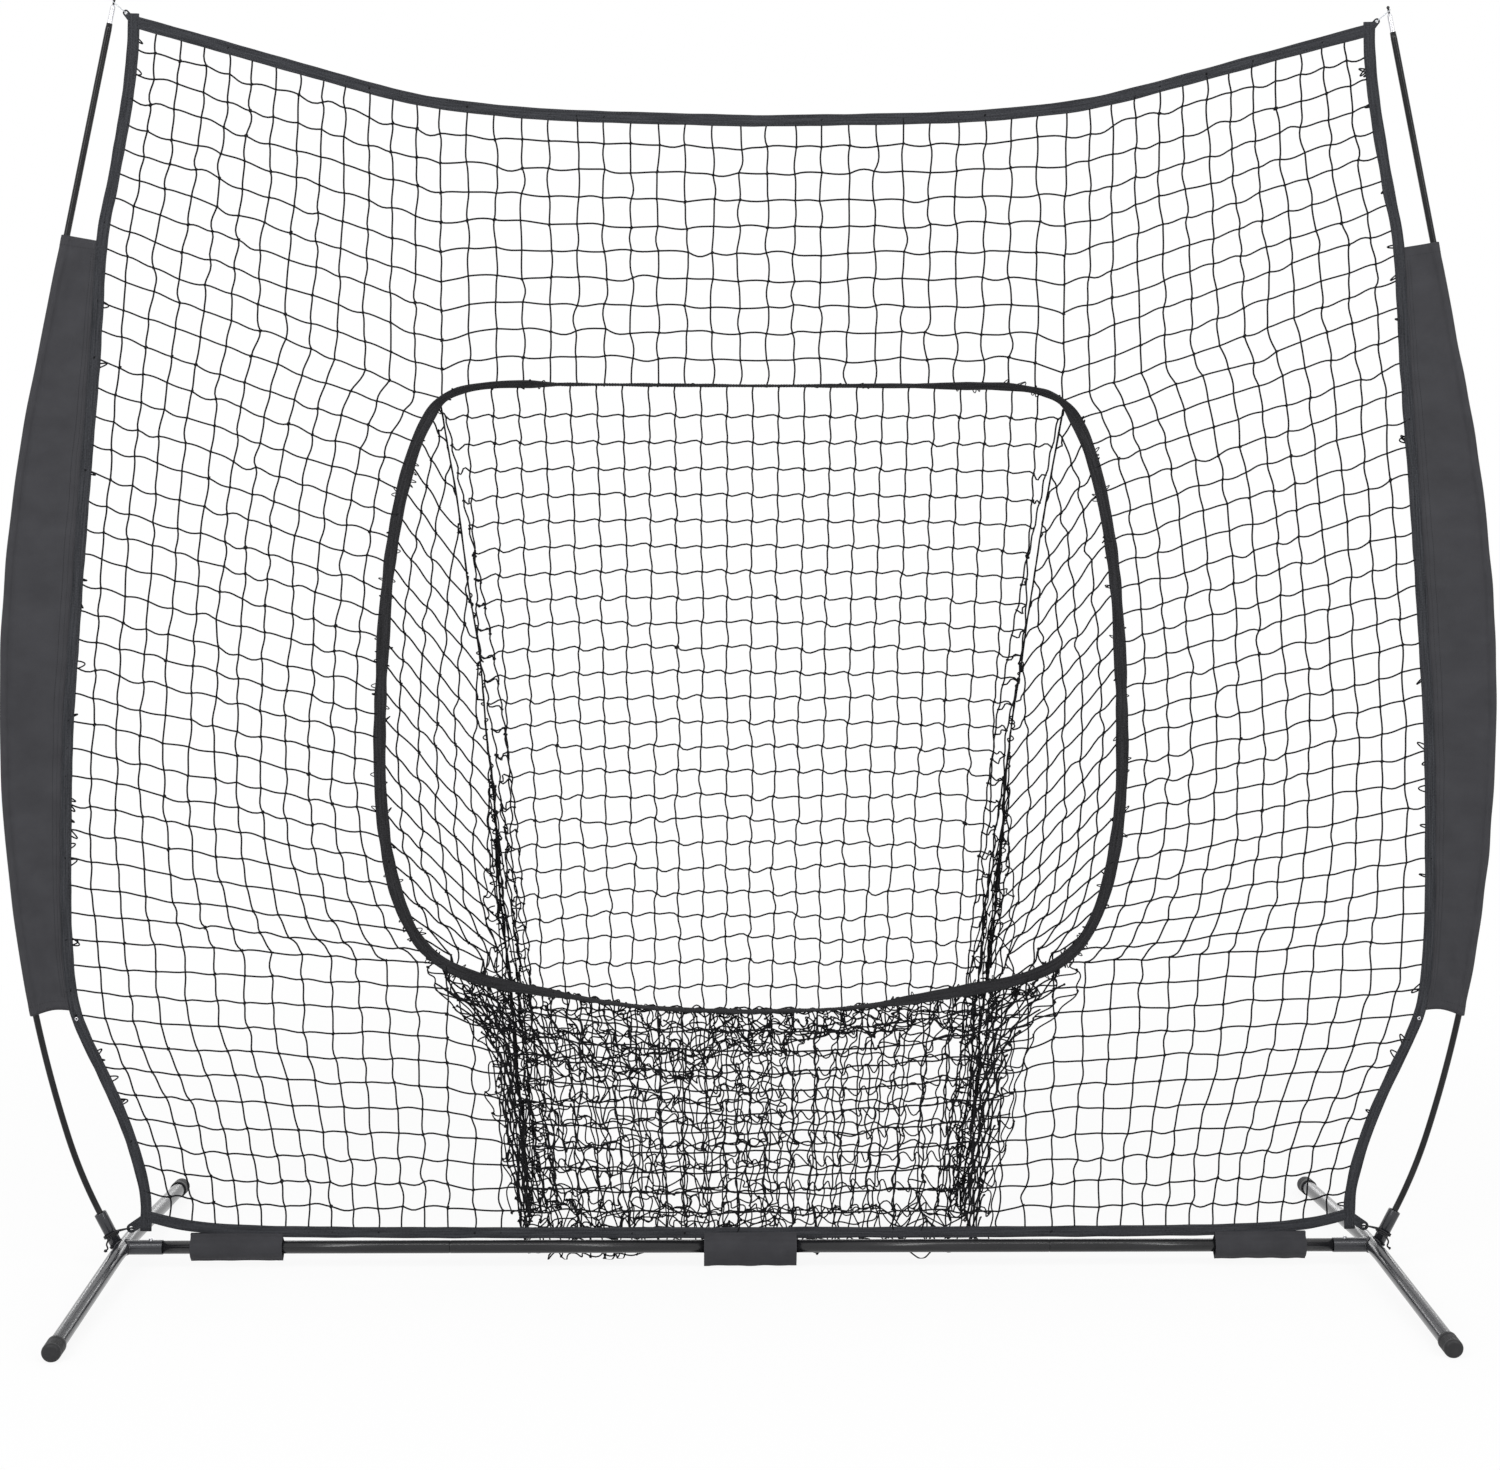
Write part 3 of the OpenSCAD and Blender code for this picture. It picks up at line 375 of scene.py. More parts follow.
def knots(points, turn, size):
    """A small lump of twine of the given size in mm at each point, longer along the way that turn gives."""
    grow = 1 + 0.18 * rng.standard_normal((len(points), 1))
    c, s = np.cos(turn), np.sin(turn)
    e = ICO[None] * np.array(size) * 0.001 * grow[:, None]
    e = e * (1 + 0.12 * rng.standard_normal((len(points), 12, 1)))
    x = e[..., 0] * c[:, None] - e[..., 2] * s[:, None]
    z = e[..., 0] * s[:, None] + e[..., 2] * c[:, None]
    verts = points[:, None] + np.stack([x, e[..., 1], z], -1)
    faces = ICO_FACES[None] + (np.arange(len(points)) * 12)[:, None, None]
    return verts.reshape(-1, 3), faces.reshape(-1, 3)


def ripple(p, size, seed, terms=7):
    """Smooth noise of about -1 to 1 at points p, with features of about the given size."""
    r = np.random.default_rng(seed)
    out = np.zeros(p.shape[:-1])
    for _ in range(terms):
        way = unit(r.standard_normal(p.shape[-1])) * 2 * np.pi / (size * (0.7 + 0.9 * r.random()))
        out += np.sin(p @ way + r.random() * 2 * np.pi)
    return out / terms ** 0.5


def smooth(points, k=14):
    """A curve through the points, with k steps from each to the next."""
    p = np.asarray(points, float)
    q = np.vstack([p[0], p, p[-1]])
    out = []
    for i in range(len(p) - 1):
        a, b, c, d = q[i:i + 4]
        for t in np.arange(k) / k:
            out.append(0.5 * (2 * b + (c - a) * t + (2 * a - 5 * b + 4 * c - d) * t * t
                              + (3 * b - a - 3 * c + d) * t ** 3))
    out.append(p[-1])
    return np.array(out)


def at_distances(at, line, values):
    """A line's values at the given distances along it."""
    go = travel(line)
    if values.ndim == 1:
        return np.interp(at, go, values)
    return np.stack([np.interp(at, go, values[:, c]) for c in range(values.shape[1])], -1)


def by_length(line, count=None, step=None):
    """The line with its points evenly spread: count of them, or about one for each step."""
    long = travel(line)[-1]
    return at_distances(np.linspace(0, long, count or int(round(long / step)) + 1), line, line)


# ------------------------------------------------------------------ the part's named sizes, in mm

LEG_X, TUBE_Z, LEG_R, FOOT_Y, CAP_R = 1052.0, 36.0, 12.5, 455.0, 15.0
# the cap's axis ends this far above the floor, and the leg is level for 45 mm and bends until 75 mm
FOOT_Z, LEVEL_END, BEND_END = CAP_R - 0.4, 45, 75
# the inner cross tubes almost meet in the middle, and the outer ones go over their far ends
INNER_X, OUTER_X, BUTTON_X = 0.03, 505.0, 1006.0
# the pole's socket: its mouth, its lean and how far down it goes
MOUTH, LEAN, SOCKET_LONG = np.array([1090.0, 95.0]), math.radians(26.0), 0.062
POLE_R, LOWER_END = 5.25, 1010.0
# the pole's bends: length in mm and turn in degrees
POLE_RUNS = [(140.0, 9.7), (400.0, 10.5), (860.0, 18.4), (633.0, 0.0)]
POLE_LEN = sum(r[0] for r in POLE_RUNS)
BLACK_END = POLE_LEN - 43.0
# the net's right half: its edges, the opening, the gathered seam and the pocket's front, as [x, z]
TOP = smooth([(0, 1900), (300, 1907), (450, 1918), (560, 1934), (700, 1970), (850, 2011), (1005, 2053)])
BOTTOM = smooth([(0, 59), (500, 60), (800, 63), (935, 72), (1014, 90)])
SIDE = smooth([(1014, 64), (1014, 125), (1028, 192), (1051, 262), (1082, 335), (1108, 392), (1128, 455),
               (1136, 560), (1135, 700), (1128, 893), (1112, 1090), (1092, 1310), (1073, 1500), (1056, 1703),
               (1036, 1800), (1012, 1925), (1001, 2010), (999, 2064)])
OPENING = smooth([(0, 1474), (300, 1475), (430, 1473), (500, 1455), (535, 1412), (562, 1345), (585, 1250),
                  (602, 1130), (613, 960), (615, 820), (604, 700), (578, 602), (535, 535), (460, 494),
                  (330, 467), (170, 443), (0, 436)])
SEAM = smooth([(515, 1468), (472, 1150), (447, 900), (431, 650), (414, 350), (385, 14)])
FRONT = smooth([(508, 1461), (540, 1400), (585, 1250), (610, 1000), (612, 800), (585, 620), (540, 500),
                (440, 380), (415, 250), (385, 14)])
PANEL_X = 508.0
# the net's squares, as they hang
MESH = 43.0


def height_at(line, x):
    return np.interp(np.abs(x), line[:, 0], line[:, 1])


def across_up(line, z):
    return np.interp(z, line[:, 1], line[:, 0])


def across_down(line, z):
    return np.interp(z, line[::-1, 1], line[::-1, 0])


def pole_at(s):
    """Points [x, z] of the right pole at distances s from the socket's mouth."""
    out = []
    for left in s:
        p, a = MOUTH, LEAN
        if left <= 0:
            out.append(p + left * np.array([math.sin(a), math.cos(a)]))
            continue
        for length, turn in POLE_RUNS:
            part = min(left, length)
            t = math.radians(turn) * part / length
            if turn:
                r = length / math.radians(turn)
                p = p + r * np.array([math.cos(a - t) - math.cos(a), math.sin(a) - math.sin(a - t)])
            else:
                p = p + part * np.array([math.sin(a), math.cos(a)])
            a -= t
            left -= part
            if left <= 0:
                break
        out.append(p)
    return np.array(out)


def three(xz, y=0.0):
    """Points of the net's plane, in mm, as points in metres."""
    return np.stack([xz[..., 0], np.broadcast_to(y, xz.shape[:-1]), xz[..., 1]], -1) * 0.001


def piece(obj, body, *nodes, slot=None):
    """Declares what the piece rides on and the CAD nodes it stands for; its slot is not used."""
    if body:
        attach(obj, body)
    if nodes:
        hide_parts(*nodes)
    return obj


SIDES = (("left", -1.0), ("right", 1.0))


def mirrored(points, side):
    p = np.array(points, float)
    p[..., 0] *= side
    return p


def ring_fix(sections, side):
    """A mirrored ring runs the other way round, so its points are turned about."""
    return mirrored(sections, side)[:, ::-1] if side < 0 else np.array(sections)


# ------------------------------------------------------------------ base

BEND = BEND_END - LEVEL_END
SLOPE = math.atan((TUBE_Z - FOOT_Z) / (FOOT_Y - LEVEL_END - BEND / 2))
BEND_R = BEND / SLOPE


def leg_z(y):
    y = np.abs(y)
    straight = BEND * SLOPE / 2 + (y - BEND_END) * math.tan(SLOPE)
    bent = np.where(y < BEND_END, (y - LEVEL_END) ** 2 / (2 * BEND_R), straight)
    return TUBE_Z - np.where(y < LEVEL_END, 0, bent)


for word, side in SIDES:
    y = np.concatenate([np.linspace(-FOOT_Y, -76, 40), np.linspace(-75, 75, 60), np.linspace(76, FOOT_Y, 40)])
    line = np.stack([np.full_like(y, side * LEG_X), y, leg_z(y)], -1) * 0.001
    piece(rod(f"{word}_leg", line, LEG_R * 0.001, LEG, 48), "base", f"{word}_leg_tube", slot="leg_steel")
    for end, way in (("front", -1.0), ("rear", 1.0)):
        axis = np.array([0, way * math.cos(SLOPE), -math.sin(SLOPE)])
        at = np.array([side * LEG_X, way * FOOT_Y, FOOT_Z]) * 0.001
        grip = []
        for k in range(5):
            t = -9 + k * 4.2
            grip += [(14.9, t), (14.55, t + 0.7), (14.55, t + 1.5), (14.9, t + 2.2)]
        profile = [(0, -1), (12.55, -1), (12.55, -18.6), (12.9, -19), (14.7, -19), (15.0, -18.6), (15.0, -14.6),
                   (14.9, -14.2)] + grip + [(14.9, 12.6), (14.65, 14.6), (13.8, 16.6), (12.3, 18.1), (10.4, 18.9),
                                            (8.6, 19.0), (0.01, 19.0)]
        cap = lathe(f"{word}_{end}_cap", np.array(profile) * 0.001, at, axis, PLASTIC, 56)
        keep_above(cap, 0.0)
        piece(cap, "base", f"{word}_{end}_foot_cap", slot="foot_plastic")

    # the pole's socket, its lip turned in a little, cut where it stands on the leg
    lean_axis = np.array([side * math.sin(LEAN), 0, math.cos(LEAN)])
    mouth = three(MOUTH * (side, 1))
    profile = [(0.0084, -SOCKET_LONG), (0.0105, -SOCKET_LONG), (0.0105, -0.0012), (0.0103, -0.0004), (0.0099, 0.0),
               (0.0088, 0.0), (0.0084, -0.0005)]
    obj = lathe(f"{word}_socket", profile, mouth, lean_axis, LEG, loop=True, low=TUBE_Z * 0.001)
    piece(obj, "base", f"{word}_pole_socket", slot="leg_steel")

    # weld beads where stub and socket meet the leg
    w = np.linspace(0, 2 * np.pi, 120)
    stub_r = 12.2
    bead = np.stack([side * (LEG_X - np.sqrt(np.maximum(LEG_R ** 2 - (stub_r * np.sin(w)) ** 2, 0.2)) - 0.6),
                     (stub_r + 0.4) * np.cos(w), TUBE_Z + (stub_r + 0.4) * np.sin(w)], -1) * 0.001
    lumps = 0.00125 + 0.0003 * np.sin(w * 30) + 0.0002 * ripple(bead, 0.004, 5)
    piece(rod(f"{word}_stub_weld", bead, lumps, WELD, 8), "base", slot="leg_steel")
    n = unit(np.cross(lean_axis, (0, 1, 0)))
    bead = []
    for out in np.cos(w)[:, None] * n + np.sin(w)[:, None] * np.cross(lean_axis, n):
        for d in np.linspace(-0.020, -SOCKET_LONG, 140):
            q = mouth + d * lean_axis + 0.0107 * out
            if math.hypot(q[0] - side * LEG_X * 0.001, q[2] - TUBE_Z * 0.001) < 0.0129 or q[2] < 0.0365:
                break
        bead.append(q)
    piece(rod(f"{word}_socket_weld", np.array(bead), lumps, WELD, 8), "base", slot="leg_steel")

    # outer cross tube, with a rolled edge where it goes over the reduced end of the next one
    edge = [(0.0, 0), (0.0101, 0), (0.0107, 0.0003), (0.0110, 0.0012), (0.0110, 0.5315), (0.0, 0.5315)]
    piece(lathe(f"{word}_outer_tube", edge, np.array([side * OUTER_X, 0, TUBE_Z]) * 0.001, (side, 0, 0), TUBE),
          "base", f"{word}_outer_cross_tube", slot="tube_steel")
    edge = [(0.0, 0), (0.0110, 0), (0.0110, 0.5030), (0.0109, 0.5040), (0.0106, 0.5046), (0.0099, 0.5049),
            (0.0, 0.5049)]
    piece(lathe(f"{word}_inner_tube", edge, np.array([side * INNER_X, 0, TUBE_Z]) * 0.001, (side, 0, 0), TUBE),
          "base", f"{word}_inner_cross_tube", slot="tube_steel")

    # the flat V-spring in the tube, with a lower and an upper leaf; on the real part the upper one goes down with the
    # button
    heel = -math.pi / 2 - np.linspace(0, math.radians(154.9), 14)
    heel = np.array([-33.2, -8.5]) + 0.5 * np.stack([np.cos(heel), np.sin(heel)], -1)
    slope = np.linspace(-31.0, -6.6, 10)
    leaf = np.vstack([[(4.0, -9.0), (-10.0, -9.0), (-22.0, -9.0)], heel, np.stack([slope, 7.6 + 0.4684 * slope], -1),
                      [(-5.4, 5.02), (-4.2, 5.25), (0.0, 5.25), (4.0, 5.25)]])
    t = unit(np.gradient(leaf, axis=0))
    out = np.stack([t[:, 1], np.zeros(len(t)), -t[:, 0]], -1)
    rim = [(0.3, 2.85), (0.15, 3.0), (-0.15, 3.0), (-0.3, 2.85), (-0.3, -2.85), (-0.15, -3.0), (0.15, -3.0),
           (0.3, -2.85)]
    line = three(leaf + (BUTTON_X, TUBE_Z))
    rings = np.stack([line + 0.001 * (h * out + w * np.array([0.0, 1.0, 0.0])) for h, w in rim], 1)
    obj = sweep(f"{word}_button_leaf", ring_fix(rings, side), SPRING)
    piece(obj, None, f"{word}_button_spring", slot="spring_steel")
    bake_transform(obj)

# ------------------------------------------------------------------ poles

for word, side in SIDES:
    for name, s0, s1 in (("lower", -50.0, LOWER_END), ("upper", LOWER_END + 0.1, BLACK_END)):
        line = three(pole_at(np.linspace(s0, s1, 90)) * (side, 1))
        r = np.full(90, POLE_R * 0.001)
        r[-1] -= 0.0005 if name == "upper" else 0.0
        piece(rod(f"{word}_{name}_rod", line, r, POLE, 28), "bow", f"{word}_{name}_pole", slot="pole_fibreglass")

# ------------------------------------------------------------------ bindings


def ribbon(name, xz, width, thick, mat, twist=0.0, closed=False, seed=1):
    """Folded webbing along a line in the net's plane; all lengths in mm."""
    count = len(xz)
    ahead = np.roll(xz, -1, 0) if closed else np.vstack([xz[1:], xz[-1]])
    behind = np.roll(xz, 1, 0) if closed else np.vstack([xz[0], xz[:-1]])
    t = unit(ahead - behind)
    t3 = np.stack([t[:, 0], np.zeros(count), t[:, 1]], -1)
    n = np.cross(t3, (0, 1, 0))
    b = np.cross(t3, n)
    tw = np.broadcast_to(twist, (count,))
    na = np.cos(tw)[:, None] * n + np.sin(tw)[:, None] * b
    nb = -np.sin(tw)[:, None] * n + np.cos(tw)[:, None] * b
    w = np.arange(20) * 2 * np.pi / 20
    ca, sa = np.cos(w), np.sin(w)
    a = np.sign(ca) * np.abs(ca) ** 0.42
    c = np.sign(sa) * np.abs(sa) ** 0.55
    where = three(xz)
    wide = np.broadcast_to(width, (count,)) / 2 + 0.35 * ripple(where, 0.05, seed)
    tall = np.broadcast_to(thick, (count,)) / 2 * (1 + 0.10 * ripple(where, 0.03, seed + 1))
    offset = 0.35 * ripple(where, 0.09, seed + 2)
    s = (where[:, None] + 0.001 * (a[None, :, None] * wide[:, None, None] * na[:, None]
                                   + c[None, :, None] * tall[:, None, None] * nb[:, None]))
    s[..., 1] += 0.001 * offset[:, None]
    # a pucker beside each stitch line
    line = np.abs(np.abs(a[None, :]) - 0.66) < 0.2
    s[..., 1] += 0.00018 * np.where(line, np.sin(np.arange(count) * 2.1)[:, None], 0)
    mid = where + np.stack([np.zeros(count), 0.001 * offset, np.zeros(count)], -1)
    return sweep(name, s, mat, loop=closed), (mid, t3, na, nb, wide, tall)


OCT = np.array([(1, 0, 0), (-1, 0, 0), (0, 1, 0), (0, -1, 0), (0, 0, 1), (0, 0, -1)], float)
OCT_FACES = np.array([(0, 2, 4), (2, 1, 4), (1, 3, 4), (3, 0, 4), (2, 0, 5), (1, 2, 5), (3, 1, 5), (0, 3, 5)])


def dashes(name, rows, size, side=1.0):
    """Dashes of thread; each row has their centres, and the ways along them, across them and out."""
    verts = []
    for centre, *ways in rows:
        q = centre[:, None]
        for k, way in enumerate(ways):
            q = q + (OCT[None] * np.array(size) * 0.001)[..., k:k + 1] * way[:, None]
        verts.append(q.reshape(-1, 3))
    verts = np.vstack(verts)
    faces = OCT_FACES[None] + (np.arange(len(verts) // 6) * 6)[:, None, None]
    piece(mesh_object(name, mirrored(verts, side), [faces.reshape(-1, 3)], THREAD), "bow")


def stitches(name, info, rows=(-0.66, 0.66), pitch=4.6):
    """Rows of dashes along both faces of a ribbon."""
    mid = info[0]
    at = np.arange(pitch, travel(mid)[-1] * 1000 - pitch, pitch) * 0.001
    m, t, a, b, w, h = (at_distances(at, mid, values) for values in info)
    t, a, b = unit(t), unit(a), unit(b)
    dashes(name, [(m + 0.001 * (a * (w * row)[:, None] + b * ((h * 0.97 + 0.05) * face)[:, None]), t, a, b)
                  for row in rows for face in (-1.0, 1.0)], (1.5, 0.42, 0.34))


def whole(line):
    return np.vstack([line[::-1] * (-1, 1), line[1:]])


for word, line, seed in (("top", TOP, 3), ("bottom", BOTTOM, 8)):
    obj, info = ribbon(f"{word}_edge", by_length(whole(line), step=7), 19, 4, EDGE, seed=seed)
    piece(obj, "bow", f"{word}_binding", slot="webbing")
    stitches(f"{word}_edge_stitches", info)


def tab(name, root, hole, root_r, end_r, hole_r, side):
    """A sewn loop of webbing with a hole, 3 mm thick."""
    root, hole = np.array(root, float), np.array(hole, float)
    way = unit(hole - root)
    base = math.atan2(way[1], way[0])
    outer = []
    for a in np.linspace(base - math.pi / 2, base + math.pi / 2, 20):
        outer.append(hole + end_r * np.array([math.cos(a), math.sin(a)]))
    for a in np.linspace(base + math.pi / 2, base + 3 * math.pi / 2, 20):
        outer.append(root + root_r * np.array([math.cos(a), math.sin(a)]))
    outer = np.array(outer)
    w = base - math.pi / 2 + np.arange(40) * 2 * np.pi / 40
    inner = hole + hole_r * np.stack([np.cos(w), np.sin(w)], -1)
    near, far = inner * 1.06 - hole * 0.06, outer * 0.96 + hole * 0.04
    rings = np.array([three(loop * (side, 1), y) for loop, y in (
        (inner, -1.2), (near, -1.5), (far, -1.5), (outer, -1.0), (outer, 1.0), (far, 1.5), (near, 1.5), (inner, 1.2))])
    return sweep(name, rings[:, ::-1] if side > 0 else rings, EDGE, loop=True)


edge_skins = []
for k, (word, side) in enumerate(SIDES):
    obj, info = ribbon(f"{word}_edge", by_length(SIDE * (side, 1), step=7), 19, 4.3, EDGE, seed=20 + 5 * k)
    piece(obj, "bow", f"{word}_binding", slot="webbing")
    stitches(f"{word}_edge_stitches", info, rows=(-0.7, 0.05, 0.7))
    edge_skins.append(info)
    piece(tab(f"{word}_low_tab", (1014, 85), (1038, 69), 8.5, 8.0, 3.6, side), "bow", slot="webbing")
    piece(tab(f"{word}_top_tab", (1000, 2052), (1011, 2065), 6, 5, 2.6, side), "bow", slot="webbing")

full = np.vstack([OPENING, (OPENING * (-1, 1))[-2:0:-1]])
full = by_length(np.vstack([full, full[:1]]), step=7)[:-1]
# along the top and the middle of the bottom the webbing has rolled over and shows its edge
level = np.clip((full[:, 1] - 1415) / 55, 0, 1)
level = level * level * (3 - 2 * level)
rolled_top = np.interp(full[:, 0], (-512, -484, -360, -320, -205, -165, -50, -10, 80, 165, 298, 350, 480, 512),
                       (1.3, 0.8, 0.8, 1.5, 1.5, 1.25, 1.25, 1.55, 1.55, 1.3, 1.15, 0.75, 0.75, 1.3))
rolled_low = np.interp(full[:, 0], (-470, -400, -340, -300, -240, -100, 20, 140, 200, 250, 330, 420),
                       (0, 0.35, 0.95, 1.3, 1.5, 1.35, 1.4, 1.55, 1.3, 0.9, 0.3, 0)) * (full[:, 1] < 560)
twist = level * rolled_top + rolled_low + 0.12 * ripple(three(full), 0.12, 45)
width = 20.5 - 4.5 * level - 5.0 * rolled_low / 1.5 + 1.2 * ripple(three(full), 0.05, 46)
obj, ring_skin = ribbon("opening_edge", full, width, 4.0 - 0.3 * rolled_low, RING, twist=twist, closed=True, seed=41)
piece(obj, "bow", "opening_binding", slot="opening_webbing")
stitches("opening_edge_stitches", ring_skin)

# ------------------------------------------------------------------ sleeves

# the sleeve's rings, and the points across its web and round the pole
SLEEVE_ROWS, WEB, ARC = 170, 13, 19
# the heights of its ends along the net's edge and along the pole, its length, and the depth of its hems
SLEEVE_IN, SLEEVE_OUT, SLEEVE_LONG, HEM = (439, 1703), (431, 1711), 1275, 15
# the tunnel is open towards the web over this half angle
TUNNEL_OPEN = math.radians(35)
EYELET_Z, EYELET_R, EYELET_WIRE = 425.0, 2.3, 0.75
pole_line = pole_at(np.linspace(0, 1750, 400))
v = np.linspace(0, 1, SLEEVE_ROWS)
z_in = SLEEVE_IN[0] + (SLEEVE_IN[1] - SLEEVE_IN[0]) * v
z_out = SLEEVE_OUT[0] + (SLEEVE_OUT[1] - SLEEVE_OUT[0]) * v

for k, (word, side) in enumerate(SIDES):
    def section(shell, thick_web, tunnel):
        """Rings round the sleeve: a flat web of two layers, and a tunnel round the pole."""
        out = []
        for q in range(SLEEVE_ROWS):
            c0 = across_up(pole_line, z_out[q])
            inner = across_up(SIDE, z_in[q]) + 8.6
            end = min(v[q], 1 - v[q]) * SLEEVE_LONG
            hem = 0.75 * (end < HEM) + 0.35 * (HEM <= end < HEM + 2) if shell else 0.0
            t = np.linspace(0, 1, WEB)[:-1]
            reach = c0 - tunnel * math.cos(TUNNEL_OPEN)
            xs = inner + (reach - inner) * t
            half = thick_web + (tunnel * math.sin(TUNNEL_OPEN) - thick_web) * t ** 4 + hem
            front = np.stack([xs, -half, np.zeros(WEB - 1)], -1)
            ang = np.radians(np.linspace(-145, 145, ARC))
            tube = np.stack([c0 + (tunnel + hem) * np.cos(ang), (tunnel + hem) * np.sin(ang), np.zeros(ARC)], -1)
            ring = np.vstack([front, tube, front[::-1] * (1, -1, 1)])
            span = np.clip((ring[:, 0] - inner) / max(c0 - inner, 1), 0, 1.1)
            rise = 4.5 * np.sin(np.pi * np.clip(span, 0, 1)) * (1 - v[q]) ** 8
            ring[:, 2] = z_in[q] + (z_out[q] - z_in[q]) * span + rise
            out.append(ring)
        out = np.array(out)
        lie = np.clip(1 - np.abs((out[..., 0] - out[:, :1, 0]) / 90 - 0.42) / 0.55, 0, 1)
        ends = np.exp(-np.minimum(v, 1 - v)[:, None] * 14)
        flat = (out * (side, 1, 1) * 0.001)[..., [0, 2]]
        slant = flat @ np.array([[1.0, 0.5], [-0.5, 0.35]])
        crease = 0.9 * ripple(flat, 0.16, 60 + k) + (0.55 + 1.7 * ends) * ripple(slant, 0.045, 62 + k)
        out[..., 1] += lie * crease
        out[..., 0] += 0.5 * ripple(flat, 0.10, 64 + k)
        return out * 0.001

    outer = section(True, 1.5, 8.3)
    inner = section(False, 0.45, 7.25)
    sections = np.concatenate([outer, inner[::-1]])
    obj = sweep(f"{word}_sleeve_cloth", ring_fix(sections, side), CLOTH, loop=True)
    piece(obj, "bow", f"{word}_sleeve", slot="sleeve_cloth")
    # stitch lines: two along the inner edge on each face, one at each hem
    last = len(outer[0]) - 1
    rows = []
    inner_edge = [(outer[3:-3, q], False) for q in (1, last - 1, 2, last - 2)]
    for line, hem in inner_edge + [(outer[2], True), (outer[-3], True)]:
        pts = by_length(line, step=0.0042)
        t = unit(np.gradient(pts, axis=0))
        up = np.where(pts[:, 1:2] < 0, -1.0, 1.0) * np.array([[0, 1.0, 0]])
        if hem:
            up = unit((pts - pts.mean(0)) * (0.3, 1, 0))
        rows.append((pts + 0.0002 * up, t, unit(np.cross(t, up)), up))
    dashes(f"{word}_sleeve_stitches", rows, (1.4, 0.4, 0.32), side)

    # the eyelet in the edge just below the sleeve
    out = circle(np.array([1.0, 0, 0]), np.array([0, 0, 1.0]), 40)
    for name, y in (("eyelet_front", -2.5), ("eyelet_rear", 2.5)):
        ring = np.array([across_up(SIDE, EYELET_Z) + 1.5, y, EYELET_Z]) + EYELET_R * out
        rings = ring[:, None] + EYELET_WIRE * circle(out, np.broadcast_to([0, 0.5, 0], out.shape), 10)
        obj = sweep(f"{word}_{name}", ring_fix(rings * 0.001, side), CHROME, loop=True)
        piece(obj, "bow", slot="bright_metal")

# ------------------------------------------------------------------ cuffs


CUFF_POINTS = 64


def cuff(name, x0, x1, low, seed, node):
    """Cloth that hangs from under the bottom edge and goes round the cross tube."""
    half = smooth([(-2.4, 60), (-3.2, 52), (-10.6, 45), (-13.0, 37), (-12.4, 28), (-8, (low + 25) / 2 + 2),
                   (-3.2, low + 4.5), (0, low + 0.6)], 6)
    line = np.vstack([half, (half * (-1, 1))[-2::-1]])
    path = by_length(line, count=CUFF_POINTS)
    xs = np.concatenate([[x0, x0 + 0.8], np.linspace(x0 + 3, x1 - 3, 34), [x1 - 0.8, x1]])
    t = unit(np.gradient(path, axis=0))
    out_way = np.stack([t[:, 1], -t[:, 0]], -1)
    rings = []
    for x in xs:
        thick = 1.5 if min(x - x0, x1 - x) < 9 else 1.0
        at = np.insert(path, 0, x, 1) * 0.001
        sag = 1.2 * math.sin(math.pi * (x - x0) / (x1 - x0)) * ripple(np.array([[x * 0.001]]), 0.05, seed + 1)[0]
        mid = path + out_way * 0.5 * ripple(at, 0.045, seed)[:, None]
        mid[:, 1] += np.where(path[:, 1] < 24, 0.25 * sag, 0)
        loop = np.vstack([mid + out_way * thick / 2, (mid - out_way * thick / 2)[::-1]])
        loop[:, 1] = np.maximum(loop[:, 1], low)
        rings.append(np.insert(loop, 0, x, 1) * 0.001)
    rings = np.array(rings)
    # each end is closed between the inner and the outer face
    count, m, i = len(xs), 2 * CUFF_POINTS, np.arange(CUFF_POINTS - 1)
    strip = np.stack([i, i + 1, m - 2 - i, m - 1 - i], -1)
    polys = [skin_quads(count, m)[0], strip, (count - 1) * m + strip[:, ::-1]]
    around = np.linspace(0, 0.125, CUFF_POINTS)
    uv = np.stack([rings[..., 0].ravel(), np.tile(np.append(around, around[::-1]), count)], -1)
    obj = mesh_object(name, rings, polys, CLOTH, [uv[p] for p in polys])
    piece(obj, "bow", node, slot="sleeve_cloth")


cuff("left_cuff_cloth", -939, -785, 12, 71, "left_cuff")
cuff("middle_cuff_cloth", -78, 78, 1.6, 74, "middle_cuff")
cuff("right_cuff_cloth", 785, 939, 12, 77, "right_cuff")

# ------------------------------------------------------------------ netting

def turned(v, angle):
    """v turned about Y, so within the net's plane."""
    c, s = np.cos(angle)[:, None], np.sin(angle)[:, None]
    return np.concatenate([v[:, 0:1] * c - v[:, 2:3] * s, v[:, 1:2], v[:, 0:1] * s + v[:, 2:3] * c], -1)


